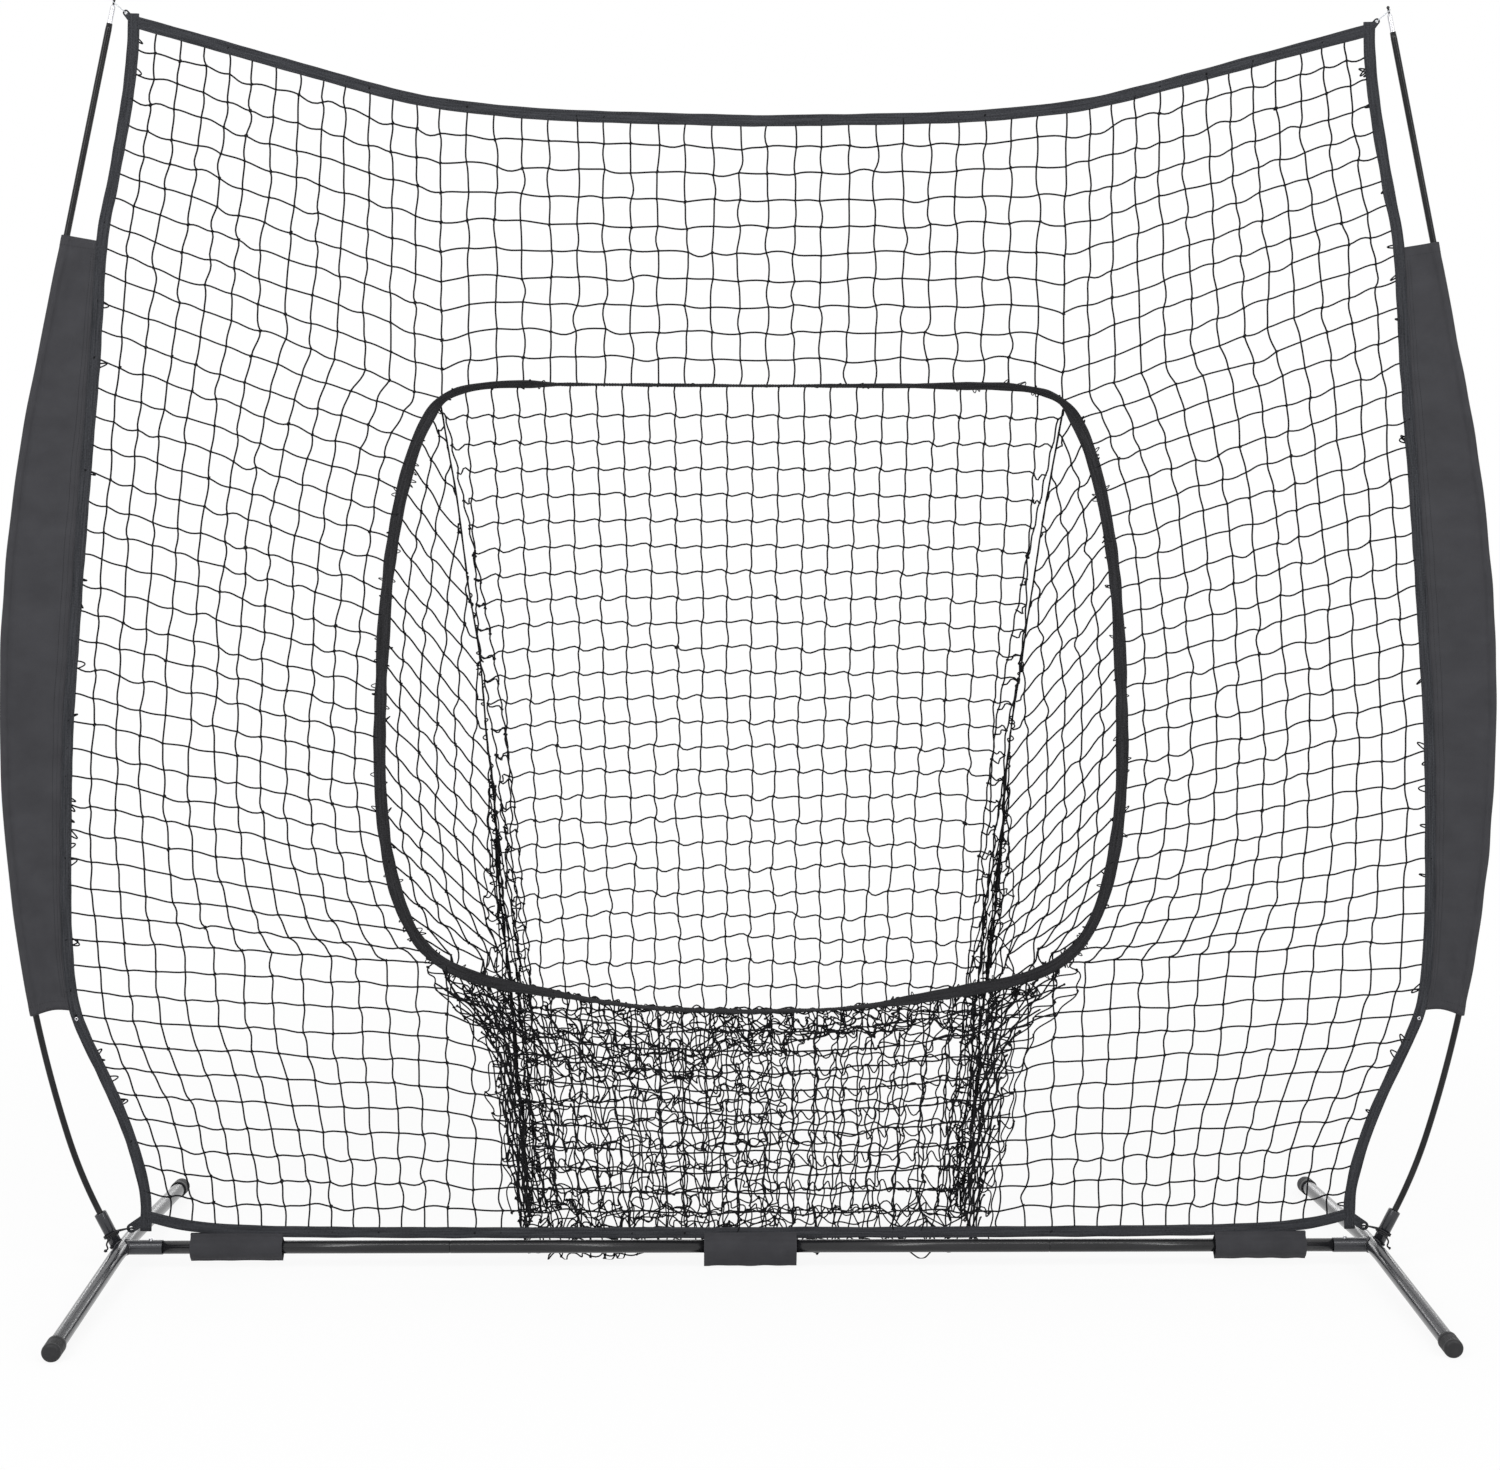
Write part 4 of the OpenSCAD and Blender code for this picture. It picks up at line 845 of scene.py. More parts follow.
def strands(p0, p1, spin0, spin1, slack, spread, cap, r, curl=(1.5, 6)):
    """Curved strands from knot to knot; slack is how much of the spare length shows as a bow, and curl how much
    of it as an S, with the points for each strand."""
    d = np.linalg.norm(p1 - p0, axis=1)
    way = unit(p1 - p0)
    pull = (d * np.clip((MESH * 0.001 / np.maximum(d, 0.004)) ** curl[0], 1.0, 4.0))[:, None]
    t0, t1 = turned(way, spin0) * pull, turned(way, spin1) * pull
    s = np.linspace(0, 1, curl[1])[:, None]
    lines = ((2 * s ** 3 - 3 * s ** 2 + 1) * p0[:, None] + (s ** 3 - 2 * s ** 2 + s) * t0[:, None]
             + (3 * s ** 2 - 2 * s ** 3) * p1[:, None] + (s ** 3 - s ** 2) * t1[:, None])
    spare = np.sqrt(0.375 * np.maximum(MESH * 0.001 / np.maximum(d, 0.004) - 1, 0)) * d
    amp = np.minimum(slack * spare, cap)
    side = np.cross(way, (0, 1, 0))
    out = np.tile([0.0, 1.0, 0.0], (len(d), 1))
    turn = r.normal(0, spread, len(d))
    flip = np.where(r.random(len(d)) < 0.5, -1.0, 1.0)
    push = unit(np.cos(turn)[:, None] * side * flip[:, None] + np.sin(turn)[:, None] * out)
    push[:, 2] -= 0.25
    return lines + amp[:, None, None] * np.sin(np.pi * s) * push[:, None]


# the strands' radii in metres, the knots' half sizes in mm, and the lowest that a strand's middle hangs
STRAND_R, TANGLE_R, CURL_R = 0.0015, 0.0013, 0.0009
KNOT = (3.0, 2.1, 2.3)
LOWEST = 0.0145


def net(name, grid, present, spin, slack, spread, cap, body, nodes, seed, upright=1.0, curl=(1.5, 6),
        radius=STRAND_R):
    """grid is (columns, rows, 3) of knots in metres; present says which strands exist.

    upright is the share of a knot's turn that shows in the strands that hang down from it."""
    r = np.random.default_rng(seed)
    rows_on, cols_on = present
    a, b = np.nonzero(rows_on)
    c, d = np.nonzero(cols_on)
    lines = np.concatenate([
        strands(grid[a, b], grid[a + 1, b], spin[a, b], spin[a + 1, b], slack, spread, cap, r, curl),
        strands(grid[c, d], grid[c, d + 1], spin[c, d] * upright, spin[c, d + 1] * upright, slack, spread, cap, r,
                curl)])
    used = np.zeros(grid.shape[:2], bool)
    for i, j in ((a, b), (a + 1, b), (c, d), (c, d + 1)):
        used[i, j] = True
    ki, kj = np.nonzero(used)
    lumps = knots(grid[ki, kj], spin[ki, kj] + math.pi / 4 + 0.3 * r.standard_normal(len(ki)), KNOT)
    obj = strand_mesh(name, lines, radius, TWINE, blobs=lumps)
    return piece(obj, body, *nodes, slot="netting")


def jitter(grid, amount, seed, keep):
    """Small random shifts in the net's plane, and less across it; keep is each knot's share of them."""
    shift = np.random.default_rng(seed).standard_normal(grid.shape) * np.array([amount, amount * 0.6, amount]) * 0.001
    return grid + shift * keep[..., None]


def drift(flat, size, tall, seeds, amount):
    """Slow drift of a panel's knots, mostly in its plane."""
    xz = flat[..., [0, 2]]
    return np.stack([ripple(xz, size, seeds[0]), 0.6 * ripple(xz, tall, seeds[1]), ripple(xz, size, seeds[2])],
                    -1) * amount


def all_on(columns, rows):
    return np.ones((columns, rows + 1), bool), np.ones((columns + 1, rows), bool)


# side panels: 13 columns by 45 rows between the seam column, the opening and the side edge
COLS, ROWS, LOW_ROW, HIGH_ROW = 13, 45, 11, 35
CORNER_LOW, CORNER_HIGH = 517.0, 1452.0
EDGE_LOW, EDGE_HIGH = (1014, 90), (1000, 2050)
part_of = OPENING[(OPENING[:, 0] >= PANEL_X - 0.5) & (OPENING[:, 1] > 500)][::-1]
ring_side = by_length(np.vstack([[PANEL_X, CORNER_LOW], part_of, [PANEL_X, CORNER_HIGH]]),
                      count=HIGH_ROW - LOW_ROW + 1)
j = np.arange(ROWS + 1)
inner = np.zeros((ROWS + 1, 2))
inner[:, 0] = PANEL_X
inner[:LOW_ROW + 1, 1] = np.interp(j[:LOW_ROW + 1], [0, LOW_ROW], [height_at(BOTTOM, PANEL_X), CORNER_LOW])
inner[LOW_ROW:HIGH_ROW + 1] = ring_side
inner[HIGH_ROW:, 1] = np.interp(j[HIGH_ROW:], [HIGH_ROW, ROWS], [CORNER_HIGH, height_at(TOP, PANEL_X)])
z_outer = np.interp(j, [0, LOW_ROW, HIGH_ROW, ROWS], [EDGE_LOW[1], 558, 1652, EDGE_HIGH[1]])
outer = np.stack([across_up(SIDE, z_outer), z_outer], -1)
u = np.arange(COLS + 1) / COLS
side_grid = inner[None] * (1 - u)[:, None, None] + outer[None] * u[:, None, None]
# the lowest and the highest rows follow the net's curved edges
bow_low, bow_top = (height_at(line, PANEL_X + (x - PANEL_X) * u) - (height_at(line, PANEL_X) * (1 - u) + z * u)
                    for line, (x, z) in ((BOTTOM, EDGE_LOW), (TOP, EDGE_HIGH)))
w_low = np.clip(1 - j / 12, 0, 1) ** 1.5
w_top = np.clip((j - 30) / 15, 0, 1) ** 1.5
side_grid[..., 1] += bow_low[:, None] * w_low[None] + bow_top[:, None] * w_top[None]
inside = np.ones((COLS + 1, ROWS + 1))
inside[0, LOW_ROW:HIGH_ROW + 1] = 0
inside[-1] = inside[:, 0] = inside[:, -1] = 0
# the seam column is pulled straight by the opening's corner, so its knots hardly stray
inside[0] *= 0.35
for k, (word, side) in enumerate(SIDES):
    flat = three(side_grid * (side, 1))
    wander = drift(flat, 0.16, 0.35, (90 + k, 92 + k, 94 + k), 0.0017)
    grid = jitter(flat + wander * inside[..., None], 1.3, 96 + k, inside)
    spin = side * -0.13 + 0.12 * np.random.default_rng(98 + k).standard_normal(grid.shape[:2])
    rows_on, cols_on = all_on(COLS, ROWS)
    rows_on[:, 0] = rows_on[:, -1] = False
    cols_on[-1] = False
    cols_on[0, LOW_ROW:HIGH_ROW] = False
    net(f"{word}_netting", grid, (rows_on, cols_on), spin, 0.42, 0.35, 0.006, "bow", [f"{word}_net"], 100 + k)

# middle panels share their seam columns with the side panels
MID = 23
x_mid = np.linspace(-PANEL_X, PANEL_X, MID + 1)
ring_top = OPENING[OPENING[:, 1] > 1440]
ring_bottom = OPENING[OPENING[:, 1] < 540][::-1]


def middle(low, high, rows, seed, name, node, slack, cap, wobble):
    v = np.arange(rows + 1) / rows
    g = np.stack([np.broadcast_to(x_mid[:, None], (MID + 1, rows + 1)),
                  low[:, None] * (1 - v) + high[:, None] * v], -1)
    flat = three(g)
    keep = np.ones((MID + 1, rows + 1))
    keep[0] = keep[-1] = keep[:, 0] = keep[:, -1] = 0
    shift = drift(flat, 0.15, 0.3, (seed, seed + 1, seed + 2), 0.0018)
    grid = jitter(flat + shift * keep[..., None], wobble, seed + 3, keep)
    spin = 0.13 * np.random.default_rng(seed + 4).standard_normal(grid.shape[:2])
    spin += 0.10 * np.sign(((np.arange(MID + 1)[:, None] + np.arange(rows + 1)[None]) % 2) - 0.5)
    rows_on, cols_on = all_on(MID, rows)
    rows_on[:, 0] = rows_on[:, -1] = False
    cols_on[0] = cols_on[-1] = False
    return net(name, grid, (rows_on, cols_on), spin, slack, 0.5, cap, "bow", [node], seed + 5)


middle(np.interp(np.abs(x_mid), ring_top[:, 0], ring_top[:, 1]), height_at(TOP, x_mid), ROWS - HIGH_ROW, 120,
       "upper_netting", "upper_net", 0.5, 0.006, 1.3)
middle(height_at(BOTTOM, x_mid), np.interp(np.abs(x_mid), ring_bottom[:, 0], ring_bottom[:, 1]), LOW_ROW, 130,
       "lower_netting", "lower_net", 0.45, 0.007, 1.6)


def curls(count, where, reach, seed):
    """Small loops of loose twine; where(r) gives a root, the way along the edge and the way out of it."""
    r = np.random.default_rng(seed)
    t = np.linspace(0, 1, 9)
    lines = []
    for _ in range(count):
        root, run, out = where(r)
        size = reach[0] + (reach[1] - reach[0]) * r.random()
        lean = r.normal(0, 0.5)
        gap = size * (0.35 + 0.8 * r.random())
        swell = np.sin(np.pi * t) ** 0.8
        pts = (root[None] + run[None] * ((t - 0.5) * gap + lean * size * swell)[:, None]
               + out[None] * (size * swell)[:, None])
        pts[:, 1] += 2.5 * r.standard_normal() * swell
        lines.append(pts)
    return np.array(lines) * 0.001


def on_ring(r):
    """A root on either edge of the opening's webbing, more often along its lower half."""
    mid, t, na, _, wide, _ = ring_skin
    while True:
        k = r.integers(len(mid))
        if r.random() < (1.0 if mid[k][2] < 0.62 else 0.35):
            break
    s = -1.0 if r.random() < 0.5 else 1.0
    return (mid[k] * 1000 + na[k] * s * (wide[k] - 0.6) + (0, 2.2 * r.choice((-1, 1)), 0), t[k], na[k] * s)


piece(strand_mesh("opening_edge_curls", curls(240, on_ring, (2.0, 8.5), 150), CURL_R, TWINE), "bow")
for k, (word, side) in enumerate(SIDES):
    skin = edge_skins[k]

    def on_edge(r):
        mid, t, na, _, wide, _ = skin
        i = r.integers(6, len(mid) - 6)
        inward = na[i] * (-1.0 if na[i][0] * mid[i][0] > 0 else 1.0)
        return mid[i] * 1000 + inward * (wide[i] - 0.8), t[i], inward

    piece(strand_mesh(f"{word}_edge_curls", curls(22, on_edge, (4, 12), 155 + k), TANGLE_R, TWINE), "bow")

# ------------------------------------------------------------------ pocket

POCKET_Z, BACK_TOP, APRON_TOP, GAP, DEPTH = 14.0, 1468.0, 500.0, 8.0, 290.0


def back_y(z):
    return GAP + (DEPTH - GAP) * (BACK_TOP - z) / (BACK_TOP - POCKET_Z)


def front_y(z):
    return np.where(z > APRON_TOP, 4.0, GAP + (APRON_TOP - z) * 0.062)


def to_pocket(obj):
    """Bakes the pocket netting's placement into its mesh."""
    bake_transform(obj)


BACK_COLS, BACK_ROWS = 24, 34
u = np.linspace(-1, 1, BACK_COLS + 1)
v = np.linspace(0, 1, BACK_ROWS + 1)
z = BACK_TOP + (POCKET_Z - BACK_TOP) * v
half = across_down(SEAM, z) - 3
g = np.zeros((BACK_COLS + 1, BACK_ROWS + 1, 3))
# the columns keep most of their pitch, and those that no longer fit fold back at the seams
reach = np.abs(u)[:, None] * np.interp(z, (14, 500, BACK_TOP), (452, 486, 512))[None]
g[..., 0] = np.sign(u)[:, None] * np.where(reach > half[None], half[None] - 0.55 * (reach - half[None]), reach)
held = np.clip(v * 5, 0, 1) * np.clip((1 - v) * 4, 0, 1)
# the rows are pulled down beside the seams
g[..., 2] = z[None] - 20 * (np.abs(u) ** 5)[:, None] * held[None]
g[..., 1] = back_y(z)[None] + 5 * (1 - u[:, None] ** 2) * np.sin(np.pi * v)[None]
g[:, 0, 1] = 2.0
g[:, 0, 2] = np.interp(np.abs(g[:, 0, 0]), ring_top[:, 0], ring_top[:, 1]) - 1
g *= 0.001
loose = np.clip(v * 2.0, 0.15, 1)[None] * np.where(np.abs(u) > 0.99, 0.3, 1)[:, None]
loose[:, 0] = 0
for axis, size, amount in ((0, 0.16, 0.0022), (1, 0.2, 0.005), (2, 0.14, 0.0026)):
    g[..., axis] += amount * loose * ripple(g[..., [0, 2]] if axis != 1 else g[..., [2, 0]], size, 140 + axis)
g = jitter(g, 1.5, 145, loose)
g[:, -1, 2] += 0.006 + 0.006 * ripple(g[:, -1, :2], 0.09, 148)
g[..., 2] = np.maximum(g[..., 2], LOWEST)
# all the knots of this panel sit a little turned the same way, more so beside the left seam
spin = 0.13 * np.random.default_rng(146).standard_normal(g.shape[:2])
spin -= 0.62 + 0.3 * np.clip(-u * 4 - 2.6, 0, 1)[:, None]
rows_on, cols_on = all_on(BACK_COLS, BACK_ROWS)
rows_on[:, 0] = rows_on[:, -1] = False
obj = net("pocket_back_netting", g, (rows_on, cols_on), spin, 0.45, 0.8, 0.007, None, ["pocket_back"], 147, 0.45)
to_pocket(obj)

# gussets: squares that hang skewed between the opening's edge and the gathered seam
PITCH_A, PITCH_Z, SKEW = 35.0, 41.0, 0.98
SEAM_POINTS, SEAM_STRANDS, SEAM_LOOPS = 260, 9, 85


def gusset_at(a, z):
    """Point at distance a from the front edge towards the seam, at height z, and the gusset's width there."""
    sx, sy = across_down(SEAM, z), back_y(z)
    fx = np.where(z > 505, across_down(OPENING[OPENING[:, 0] >= 380], z) - 2, across_down(FRONT, z))
    fx = np.where(z > 1461, sx, fx)
    fy = front_y(z)
    wide = np.hypot(fx - sx, fy - sy)
    f = np.clip(1 - a / np.maximum(wide, 1), 0, 1)
    return np.stack([sx + (fx - sx) * f, sy + (fy - sy) * f, z], -1), wide


for k, (word, side) in enumerate(SIDES):
    r = np.random.default_rng(160 + k)
    na, nz = 8, 44
    ia, iz = np.meshgrid(np.arange(na), np.arange(nz), indexing="ij")
    a = ia * PITCH_A + np.where(ia > 0, r.normal(0, 2.2, ia.shape), 0)
    zz = 30 + iz * PITCH_Z - a * SKEW + r.normal(0, 2.0, ia.shape)

    def ok(a, z):
        """Whether a point is on the gusset, a little clear of its low and its top end."""
        return (z > 16) & (z < 1458) & (a <= gusset_at(a, np.clip(z, 15, 1467))[1] + 0.01)

    spin = 0.12 * r.standard_normal(ia.shape) - 0.22 * side
    ends = []
    for di, dj in ((1, 0), (0, 1)):
        i, j = (q.ravel() for q in np.meshgrid(np.arange(dj, na - di), np.arange(nz - dj), indexing="ij"))
        p0 = np.stack([a[i, j], zz[i, j]], -1)
        p1 = np.stack([a[i + di, j + dj], zz[i + di, j + dj]], -1)
        in0, in1 = ok(*p0.T), ok(*p1.T)
        # a strand that leaves the gusset is cut at its edge, which is found by halving
        lo, hi = np.where(in0, 0.0, 1.0), np.where(in0, 1.0, 0.0)
        for _ in range(12):
            m = (lo + hi) / 2
            on = ok(*(p0 + (p1 - p0) * m[:, None]).T)
            lo, hi = np.where(on, m, lo), np.where(on, hi, m)
        cut = p0 + (p1 - p0) * lo[:, None]
        p0, p1 = np.where((in1 & ~in0)[:, None], cut, p0), np.where((in0 & ~in1)[:, None], cut, p1)
        on = (in0 & in1) | ((in0 | in1) & (np.linalg.norm(p1 - p0, axis=1) >= 5))
        ends.append([q[on] for q in (gusset_at(*p0.T)[0], gusset_at(*p1.T)[0], spin[i, j], spin[i + di, j + dj])])
    p0, p1, spin0, spin1 = (np.concatenate(q) for q in zip(*ends))
    lines = strands(p0 * (side, 1, 1) * 0.001, p1 * (side, 1, 1) * 0.001, spin0, spin1, 0.45, 0.7, 0.006, r)
    lines[..., 2] = np.maximum(lines[..., 2], LOWEST)
    inside = ok(a, zz)
    at = gusset_at(a[inside], zz[inside])[0] * (side, 1, 1) * 0.001
    lumps = knots(at, spin[inside] + 0.8, KNOT)
    obj = strand_mesh(f"{word}_gusset_netting", lines, STRAND_R, TWINE, blobs=lumps)
    piece(obj, None, f"{word}_gusset", slot="netting")
    to_pocket(obj)

    # the gathered seam: an edge cord with bunched strands wound round it
    line = by_length(SEAM[SEAM[:, 1] < 1452], count=SEAM_POINTS)
    zz = line[:, 1]
    fall = (BACK_TOP - zz) / (BACK_TOP - POCKET_Z)
    centre = np.stack([line[:, 0], back_y(zz), zz], -1)
    centre[:, 0] += fall * (2.5 * ripple(centre * 0.001, 0.1, 170 + k) + 5 * ripple(centre * 0.001, 0.25, 172 + k))
    bundle = []
    wide = np.clip((740 - zz) / 300, 0, 1)
    thick = 0.12 + 0.88 * np.clip((1000 - zz) / 420, 0, 1)
    for q in range(SEAM_STRANDS):
        spread = (0.9 + 4.4 * (0.4 + 0.6 * r.random()) * (q > 0)) * thick
        wind = (q * 0.7 + np.linspace(0, (14 + 5 * r.random()) * np.pi, SEAM_POINTS)
                + 1.4 * ripple(centre * 0.001, 0.06, 180 + 12 * k + q))
        rad = spread * (0.55 + 0.45 * ripple(centre * 0.001, 0.035, 210 + 12 * k + q))
        pts = centre + np.stack([rad * np.cos(wind), rad * np.sin(wind), 2.0 * np.sin(wind * 2) * thick], -1)
        if q > 4:
            # the outer ones stray from the seam as whole columns of the bunched netting
            stray = (-20, -9, -30, 14)[q - 5] * wide * (1 + 0.3 * ripple(centre * 0.001, 0.2, 240 + 12 * k + q))
            pts = centre + np.stack([stray + (0.4 + 2.4 * wide) * ripple(centre * 0.001, 0.045, 270 + 12 * k + q),
                                     (1 + 2 * wide) * ripple(centre * 0.001, 0.09, 300 + 12 * k + q) - 4 * wide,
                                     np.zeros(SEAM_POINTS)], -1)
        bundle.append(pts)
    bundle = np.array(bundle) * (side, 1, 1) * 0.001
    bundle[..., 2] = np.maximum(bundle[..., 2], LOWEST)
    # loops that stick out of the gather
    hairs = []
    for _ in range(SEAM_LOOPS):
        f = r.random() ** 0.5
        q = int(f * 240) + 8
        c = centre[q] + np.array([r.normal(0, 13) * wide[q], 0, 0])
        way = r.standard_normal(3) * (1, 0.35, 0.35)
        way = way / np.linalg.norm(way) * (4 + 4 * thick[q] + wide[q] * (4 + 14 * r.random()))
        along_seam = np.array([r.normal(0, 7) * wide[q], 0, -(5 + (5 + 24 * wide[q]) * r.random())])
        t = np.linspace(0, 1, 9)[:, None]
        hairs.append(c + along_seam * t + way * np.sin(np.pi * t) ** 0.75)
    hairs = np.array(hairs) * (side, 1, 1) * 0.001
    hairs[..., 2] = np.maximum(hairs[..., 2], LOWEST)
    obj = strand_mesh(f"{word}_seam_gather", bundle, TANGLE_R, SEAM_TWINE)
    piece(obj, None, f"{word}_pocket_seam", slot="netting")
    to_pocket(obj)
    obj = strand_mesh(f"{word}_seam_loops", hairs, TANGLE_R, SEAM_TWINE)
    piece(obj, None, slot="netting")
    to_pocket(obj)


# slack netting bunched under the opening, down to the floor, and beside the gathered seams
def across(u):
    """The knots of the apron turn one way left of the middle and the other way right of it."""
    return np.tanh((u + 0.16) * 9)


def crumpled(name, cols, rows, shape, seed, slack, cap, rough, lean=0.0, nodes=(), upright=1.0, turn=np.ones_like):
    """Slack netting on shape(u, v); lean is how far its knots turn, and turn(u) which way."""
    r = np.random.default_rng(seed)
    u = np.linspace(-1, 1, cols + 1)[:, None] * np.ones((1, rows + 1))
    v = np.linspace(0, 1, rows + 1)[None] * np.ones((cols + 1, 1))
    g = shape(u, v)
    hold = np.clip(v * 5, 0, 1)
    # the left end is crushed more than the right
    crush = rough * (1.0 + 0.5 * np.clip(-u * 1.6, 0, 1))
    for axis, size, amount in ((0, 0.09, 8.0), (1, 0.12, 6.0), (2, 0.07, 8.0)):
        g[..., axis] += amount * crush * hold * ripple(np.stack([u * 0.5, v * 0.45], -1), size, seed + axis)
    g += r.standard_normal(g.shape) * np.array([4.0, 3.0, 4.0]) * (crush * hold)[..., None]
    g[..., 2] += 9.0 * r.standard_normal((cols + 1, 1)) * hold
    g[..., 2] = np.maximum(g[..., 2], 4.0)
    g[..., 1] = np.clip(g[..., 1], 7.0, DEPTH - 4)
    spin = 0.32 * r.standard_normal(g.shape[:2]) * (0.6 + crush)
    spin += lean * (0.75 + 0.35 * ripple(np.stack([u * 0.5, v * 0.4], -1), 0.4, seed + 5)) * turn(u)
    obj = net(name, g * 0.001, all_on(cols, rows), spin, slack, 0.9, cap, None, nodes, seed + 9, upright, (2.7, 10),
              TANGLE_R)
    keep_above(obj, 0.0025, 0.0052)
    to_pocket(obj)


def ring_low(x):
    x = np.abs(x)
    return np.where(x < 535, np.interp(x, ring_bottom[:, 0], ring_bottom[:, 1]), 535 + (x - 535) * 0.6)


def tangle_half(z, u):
    """Half the tangle's width at height z; its right half is a little wider."""
    half = np.interp(z, [14, 100, 264, 333, 374, 409, 466, 507], [384, 392, 424, 434, 440, 468, 526, 548])
    return half * np.where(u > 0, 1.05, 1.0)


def lowest(u):
    """The tangle reaches the floor at the left and stays behind the bottom edge elsewhere."""
    return 14 + 22 * np.clip((u + 0.6) * 5, 0, 1)


def front_fall(u, v):
    top_x = u * 536
    top_z = ring_low(top_x) - 3
    z = top_z + (lowest(u) - top_z) * v ** 1.25
    x = u * (536 * (1 - np.clip(v * 3.2, 0, 1)) + tangle_half(z, u) * np.clip(v * 3.2, 0, 1))
    return np.stack([x, 9 + 30 * v, z], -1)


def second_fall(u, v):
    """A second layer behind the left half, where more of the net has slid down."""
    u = u * 0.56 - 0.44
    top_x = u * 490
    top_z = ring_low(top_x) - 5
    z = top_z + (lowest(u) + 6 - top_z) * v ** 1.1
    x = u * (490 * (1 - np.clip(v * 3, 0, 1)) + (tangle_half(z, u) - 6) * np.clip(v * 3, 0, 1))
    return np.stack([x, 16 + 110 * v ** 1.5, z], -1)


def short_flap(u, v):
    """A fold that hangs in a swag: deep at the left, shallow from the middle on, deeper at the right seam."""
    top_x = u * 478
    top_z = ring_low(top_x) - 4
    depth = np.interp(u, (-1, -0.8, -0.45, -0.2, 0.0, 0.55, 0.8, 1), (50, 125, 120, 100, 58, 44, 66, 40))
    z = top_z - depth * np.sin(np.pi * v * 0.8)
    x = u * (478 + (np.minimum(tangle_half(z, u), 478) - 478) * np.clip(v * 3, 0, 1))
    return np.stack([x, 10 + 26 * v, z], -1)


def seam_bunch(side):
    """Bunched squares that hang along one gathered seam, wider towards the floor, mostly on its inner side."""
    def shape(u, v):
        z = 800 + (20 - 800) * v
        reach = np.interp(z, (20, 300, 480, 700, 800), (40, 46, 34, 14, 4))
        middle_x = side * across_down(SEAM, z) + (12 * np.clip((560 - z) / 160, 0, 1) if side > 0 else 0)
        return np.stack([middle_x + u * reach, back_y(z) - 6 - 4 * u * u, z], -1)
    return shape


def floor_run(u, v):
    x = u * (384 - 6 * v)
    rise = 9 * ripple(np.stack([u * 0.4, v * 0.2], -1), 0.12, 285)
    return np.stack([x, 40 + 245 * v, 22 + 14 * np.sin(np.pi * v * 3) ** 2 + rise], -1)


crumpled("apron_netting", 34, 11, front_fall, 220, 0.3, 0.006, 0.35, lean=1.4, nodes=["pocket_apron"], upright=0.45,
         turn=across)
crumpled("apron_fold_netting", 14, 11, second_fall, 240, 0.5, 0.009, 0.6, lean=0.8)
crumpled("apron_flap_netting", 28, 4, short_flap, 260, 0.7, 0.010, 0.8, lean=0.9)
crumpled("pocket_floor_netting", 20, 5, floor_run, 280, 0.7, 0.010, 0.7, lean=0.7)
crumpled("left_bunch_netting", 2, 17, seam_bunch(-1.0), 310, 0.6, 0.009, 0.7, lean=-0.8)
crumpled("right_bunch_netting", 2, 17, seam_bunch(1.0), 320, 0.6, 0.009, 0.7, lean=0.8)

# ------------------------------------------------------------------ ties and loops

TIE_R, TIE_TURN_R, ELASTIC_R, ELASTIC_TURN_R = 0.0014, 0.0121, 0.0009, 0.003

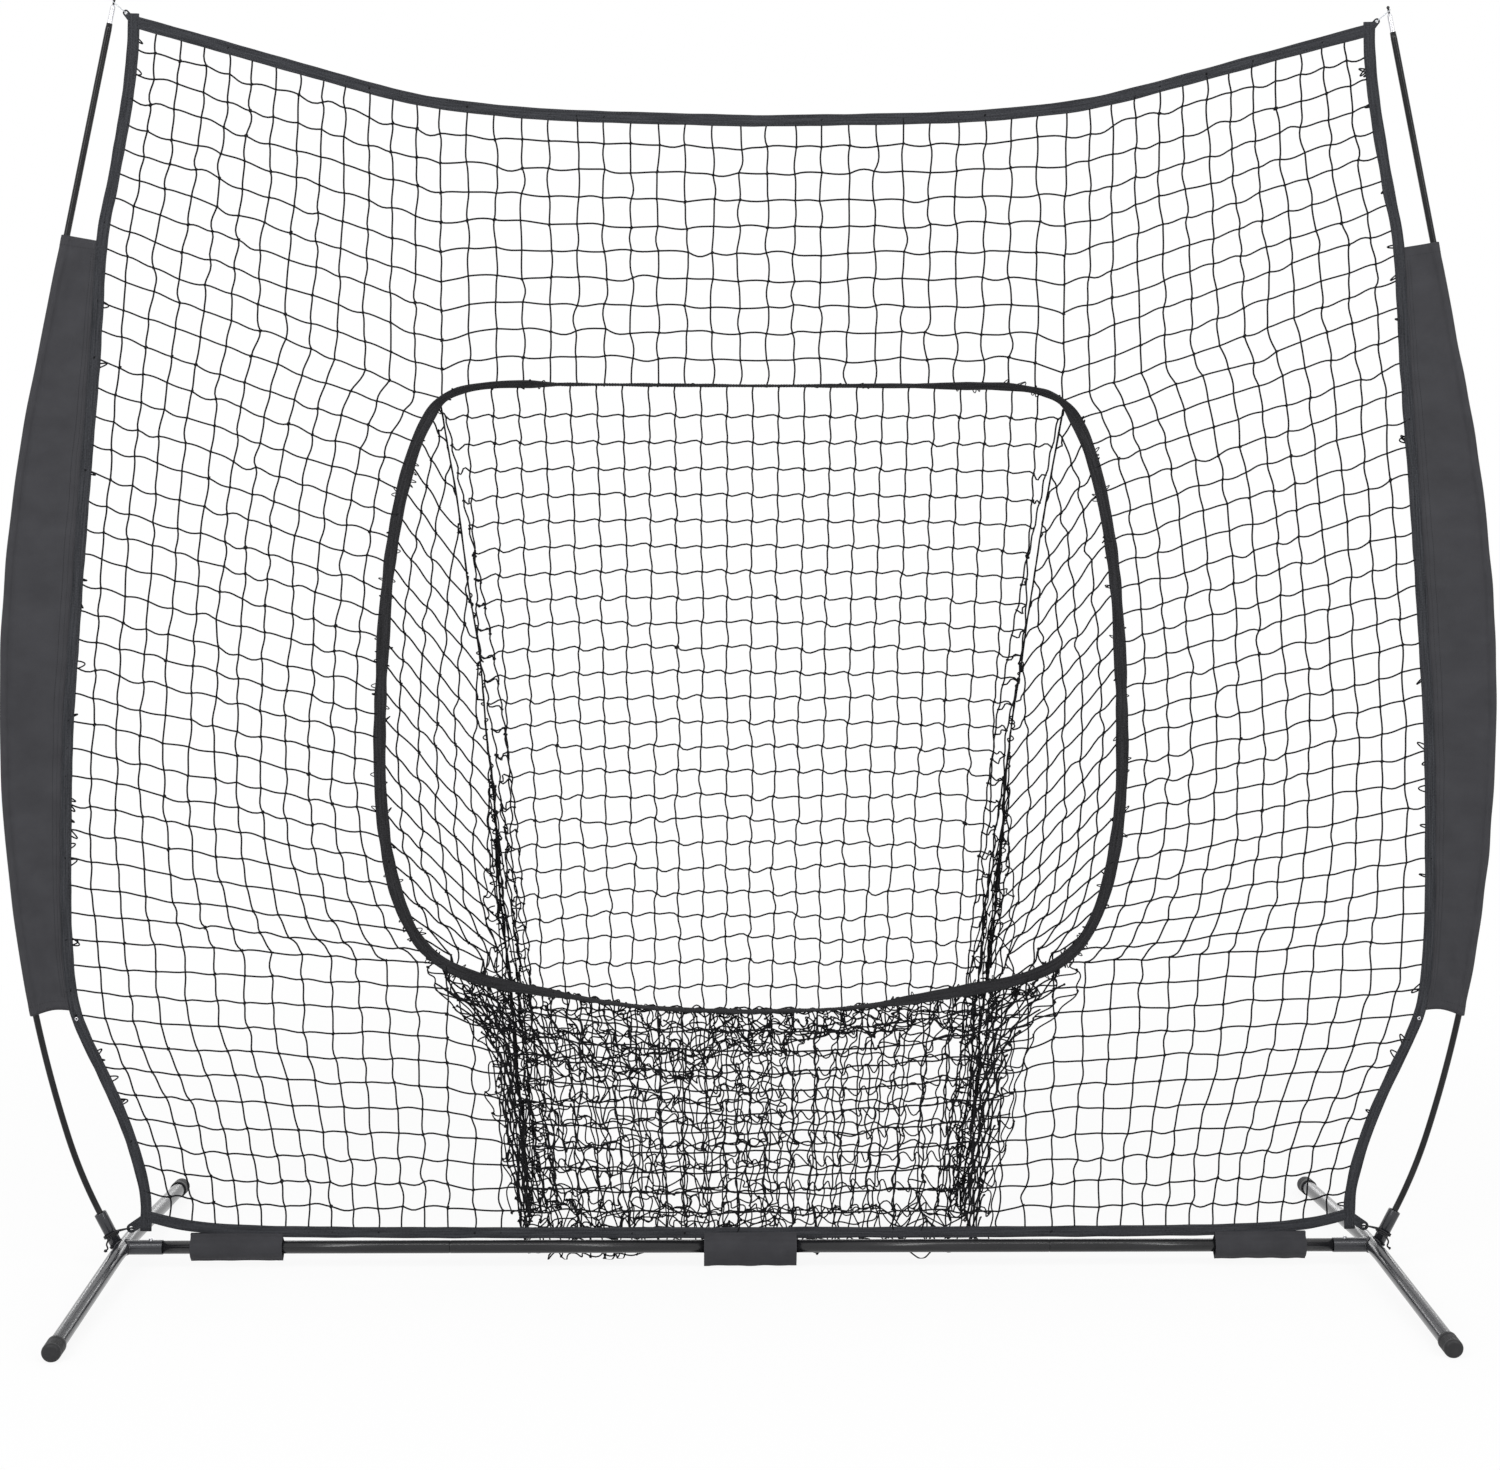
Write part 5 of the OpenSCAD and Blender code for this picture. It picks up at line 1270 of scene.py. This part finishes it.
for word, side in SIDES:
    lean_axis = np.array([math.sin(LEAN), 0, math.cos(LEAN)])
    n = unit(np.cross(lean_axis, (0, 1, 0)))
    b = np.cross(lean_axis, n)
    centre = three(MOUTH) - 0.040 * lean_axis
    hole = np.array([1.038, 0, 0.069])
    w = np.linspace(math.pi * 0.25, math.pi * 0.25 + 4.2 * math.pi, 110)
    turns = (centre + TIE_TURN_R * (np.cos(w)[:, None] * n + np.sin(w)[:, None] * b)
             + np.linspace(0.0012, -0.0042, 110)[:, None] * lean_axis)
    start = np.array([hole + (0.0005, 0.0040, -0.001), hole + (-0.0030, 0.0012, 0.0), hole + (-0.0030, -0.0018, 0.0),
                      hole + (0.001, -0.0042, 0.001), (hole + turns[0]) / 2 + (0, -0.0015, 0.001)])
    tail = smooth(np.array([turns[-1], turns[-1] + (0.004, -0.003, -0.003), turns[-1] + (0.007, -0.005, -0.010),
                            turns[-1] + (0.005, -0.006, -0.017), turns[-1] + (0.009, -0.006, -0.021)]), 6)
    line = np.vstack([smooth(np.vstack([start, turns[:1]]), 5)[:-1], turns, tail[1:]])
    line = by_length(line, count=220)
    piece(rod(f"{word}_tie", mirrored(line, side), TIE_R, TIE_CORD, 10), "base", f"{word}_corner_tie", slot="tie_cord")
    # the return leg of the tie, from the hole back to the socket
    back = smooth(np.array([hole + (0.0005, 0.0040, -0.001), (hole + centre) / 2 + (0, 0.0075, 0.0005),
                            centre + TIE_TURN_R * unit(b * np.sign(b[1]) + 0.25 * n)]), 12)
    piece(rod(f"{word}_tie_return", mirrored(back, side), TIE_R, TIE_CORD, 10), "base", slot="tie_cord")
    kv, kf = knots(mirrored([tail[6], line[-1]], side), np.array([0.4, 0.9]), (2.9, 2.5, 2.7))
    piece(mesh_object(f"{word}_tie_knots", kv, [kf], TIE_CORD), "base", slot="tie_cord")

    # one closed loop round the pole's tip pin and through the net's top tab
    pin = three(pole_at([BLACK_END + 34])[0])
    hole = np.array([1.011, 0, 2.065])
    way = unit(pin - hole)
    w = np.linspace(-math.pi / 2, math.pi / 2, 20)[:, None]
    loop = np.vstack([middle_at + ELASTIC_TURN_R * (np.cos(a) * way + np.sin(a) * np.array([0, 1, 0]))
                      for middle_at, a in ((pin, w), (hole + way * 0.0006, w + math.pi))])
    loop[:, 2] += 0.0006 * np.sin(np.linspace(0, 2 * np.pi, len(loop)))
    t = unit(np.roll(loop, -1, 0) - np.roll(loop, 1, 0))
    out = unit(np.cross(t, unit(np.cross(way, (0, 1, 0)))))
    rings = loop[:, None] + ELASTIC_R * circle(out, np.cross(t, out), 10)
    obj = sweep(f"{word}_elastic", ring_fix(rings, side), CLEAR, loop=True)
    piece(obj, "bow", f"{word}_tip_loop", slot="clear_elastic")

# ------------------------------------------------------------------ CAD nodes that stay

for name, mat in (("stub", LEG), ("snap_button", CHROME), ("pole_ferrule", CHROME), ("pole_plug", PLASTIC),
                  ("tip_sleeve", CHROME), ("tip_pin", PLASTIC)):
    for word, _ in SIDES:
        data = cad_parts[f"{word}_{name}"].data
        data.materials.clear()
        data.materials.append(mat)
        data.polygons.foreach_set("use_smooth", np.full(len(data.polygons), True))
        data.set_sharp_from_angle(angle=0.6)

# ------------------------------------------------------------------ floor

FLOOR_DOWN = 0.0004
paint_white = bpy.data.materials.new("floor_white")
floor = mesh_object("floor", [(-12, -12, 0), (12, -12, 0), (12, 14, 0), (-12, 14, 0)], [np.array([[0, 1, 2, 3]])],
                    paint_white, smooth=False)
floor.location.z = -FLOOR_DOWN
paint_white.use_nodes = True
tree = paint_white.node_tree
tree.nodes.clear()
paint = node(tree, "BsdfDiffuse", {"Color": (0.93, 0.93, 0.93, 1)})
glow = node(tree, "Emission", {"Color": (1, 1, 1, 1), "Strength": 1.0})
# close to the object a tenth of the floor's own shade shows, so its shadow does too; far off it is plain white
away = node(tree, "VectorMath", {0: node(tree, "TexCoord", {}).outputs["Object"]}, operation="LENGTH")
fade = node(tree, "MapRange", {"Value": away.outputs["Value"], "From Min": 1.5, "From Max": 3.2, "To Min": 0.9,
                               "To Max": 1.0})
share = node(tree, "Math", {0: seen_directly(tree), 1: fade.outputs["Result"]}, operation="MULTIPLY")
pick = node(tree, "MixShader", {0: share.outputs[0], 1: paint.outputs[0], 2: glow.outputs[0]})
node(tree, "OutputMaterial", {0: pick.outputs[0]})
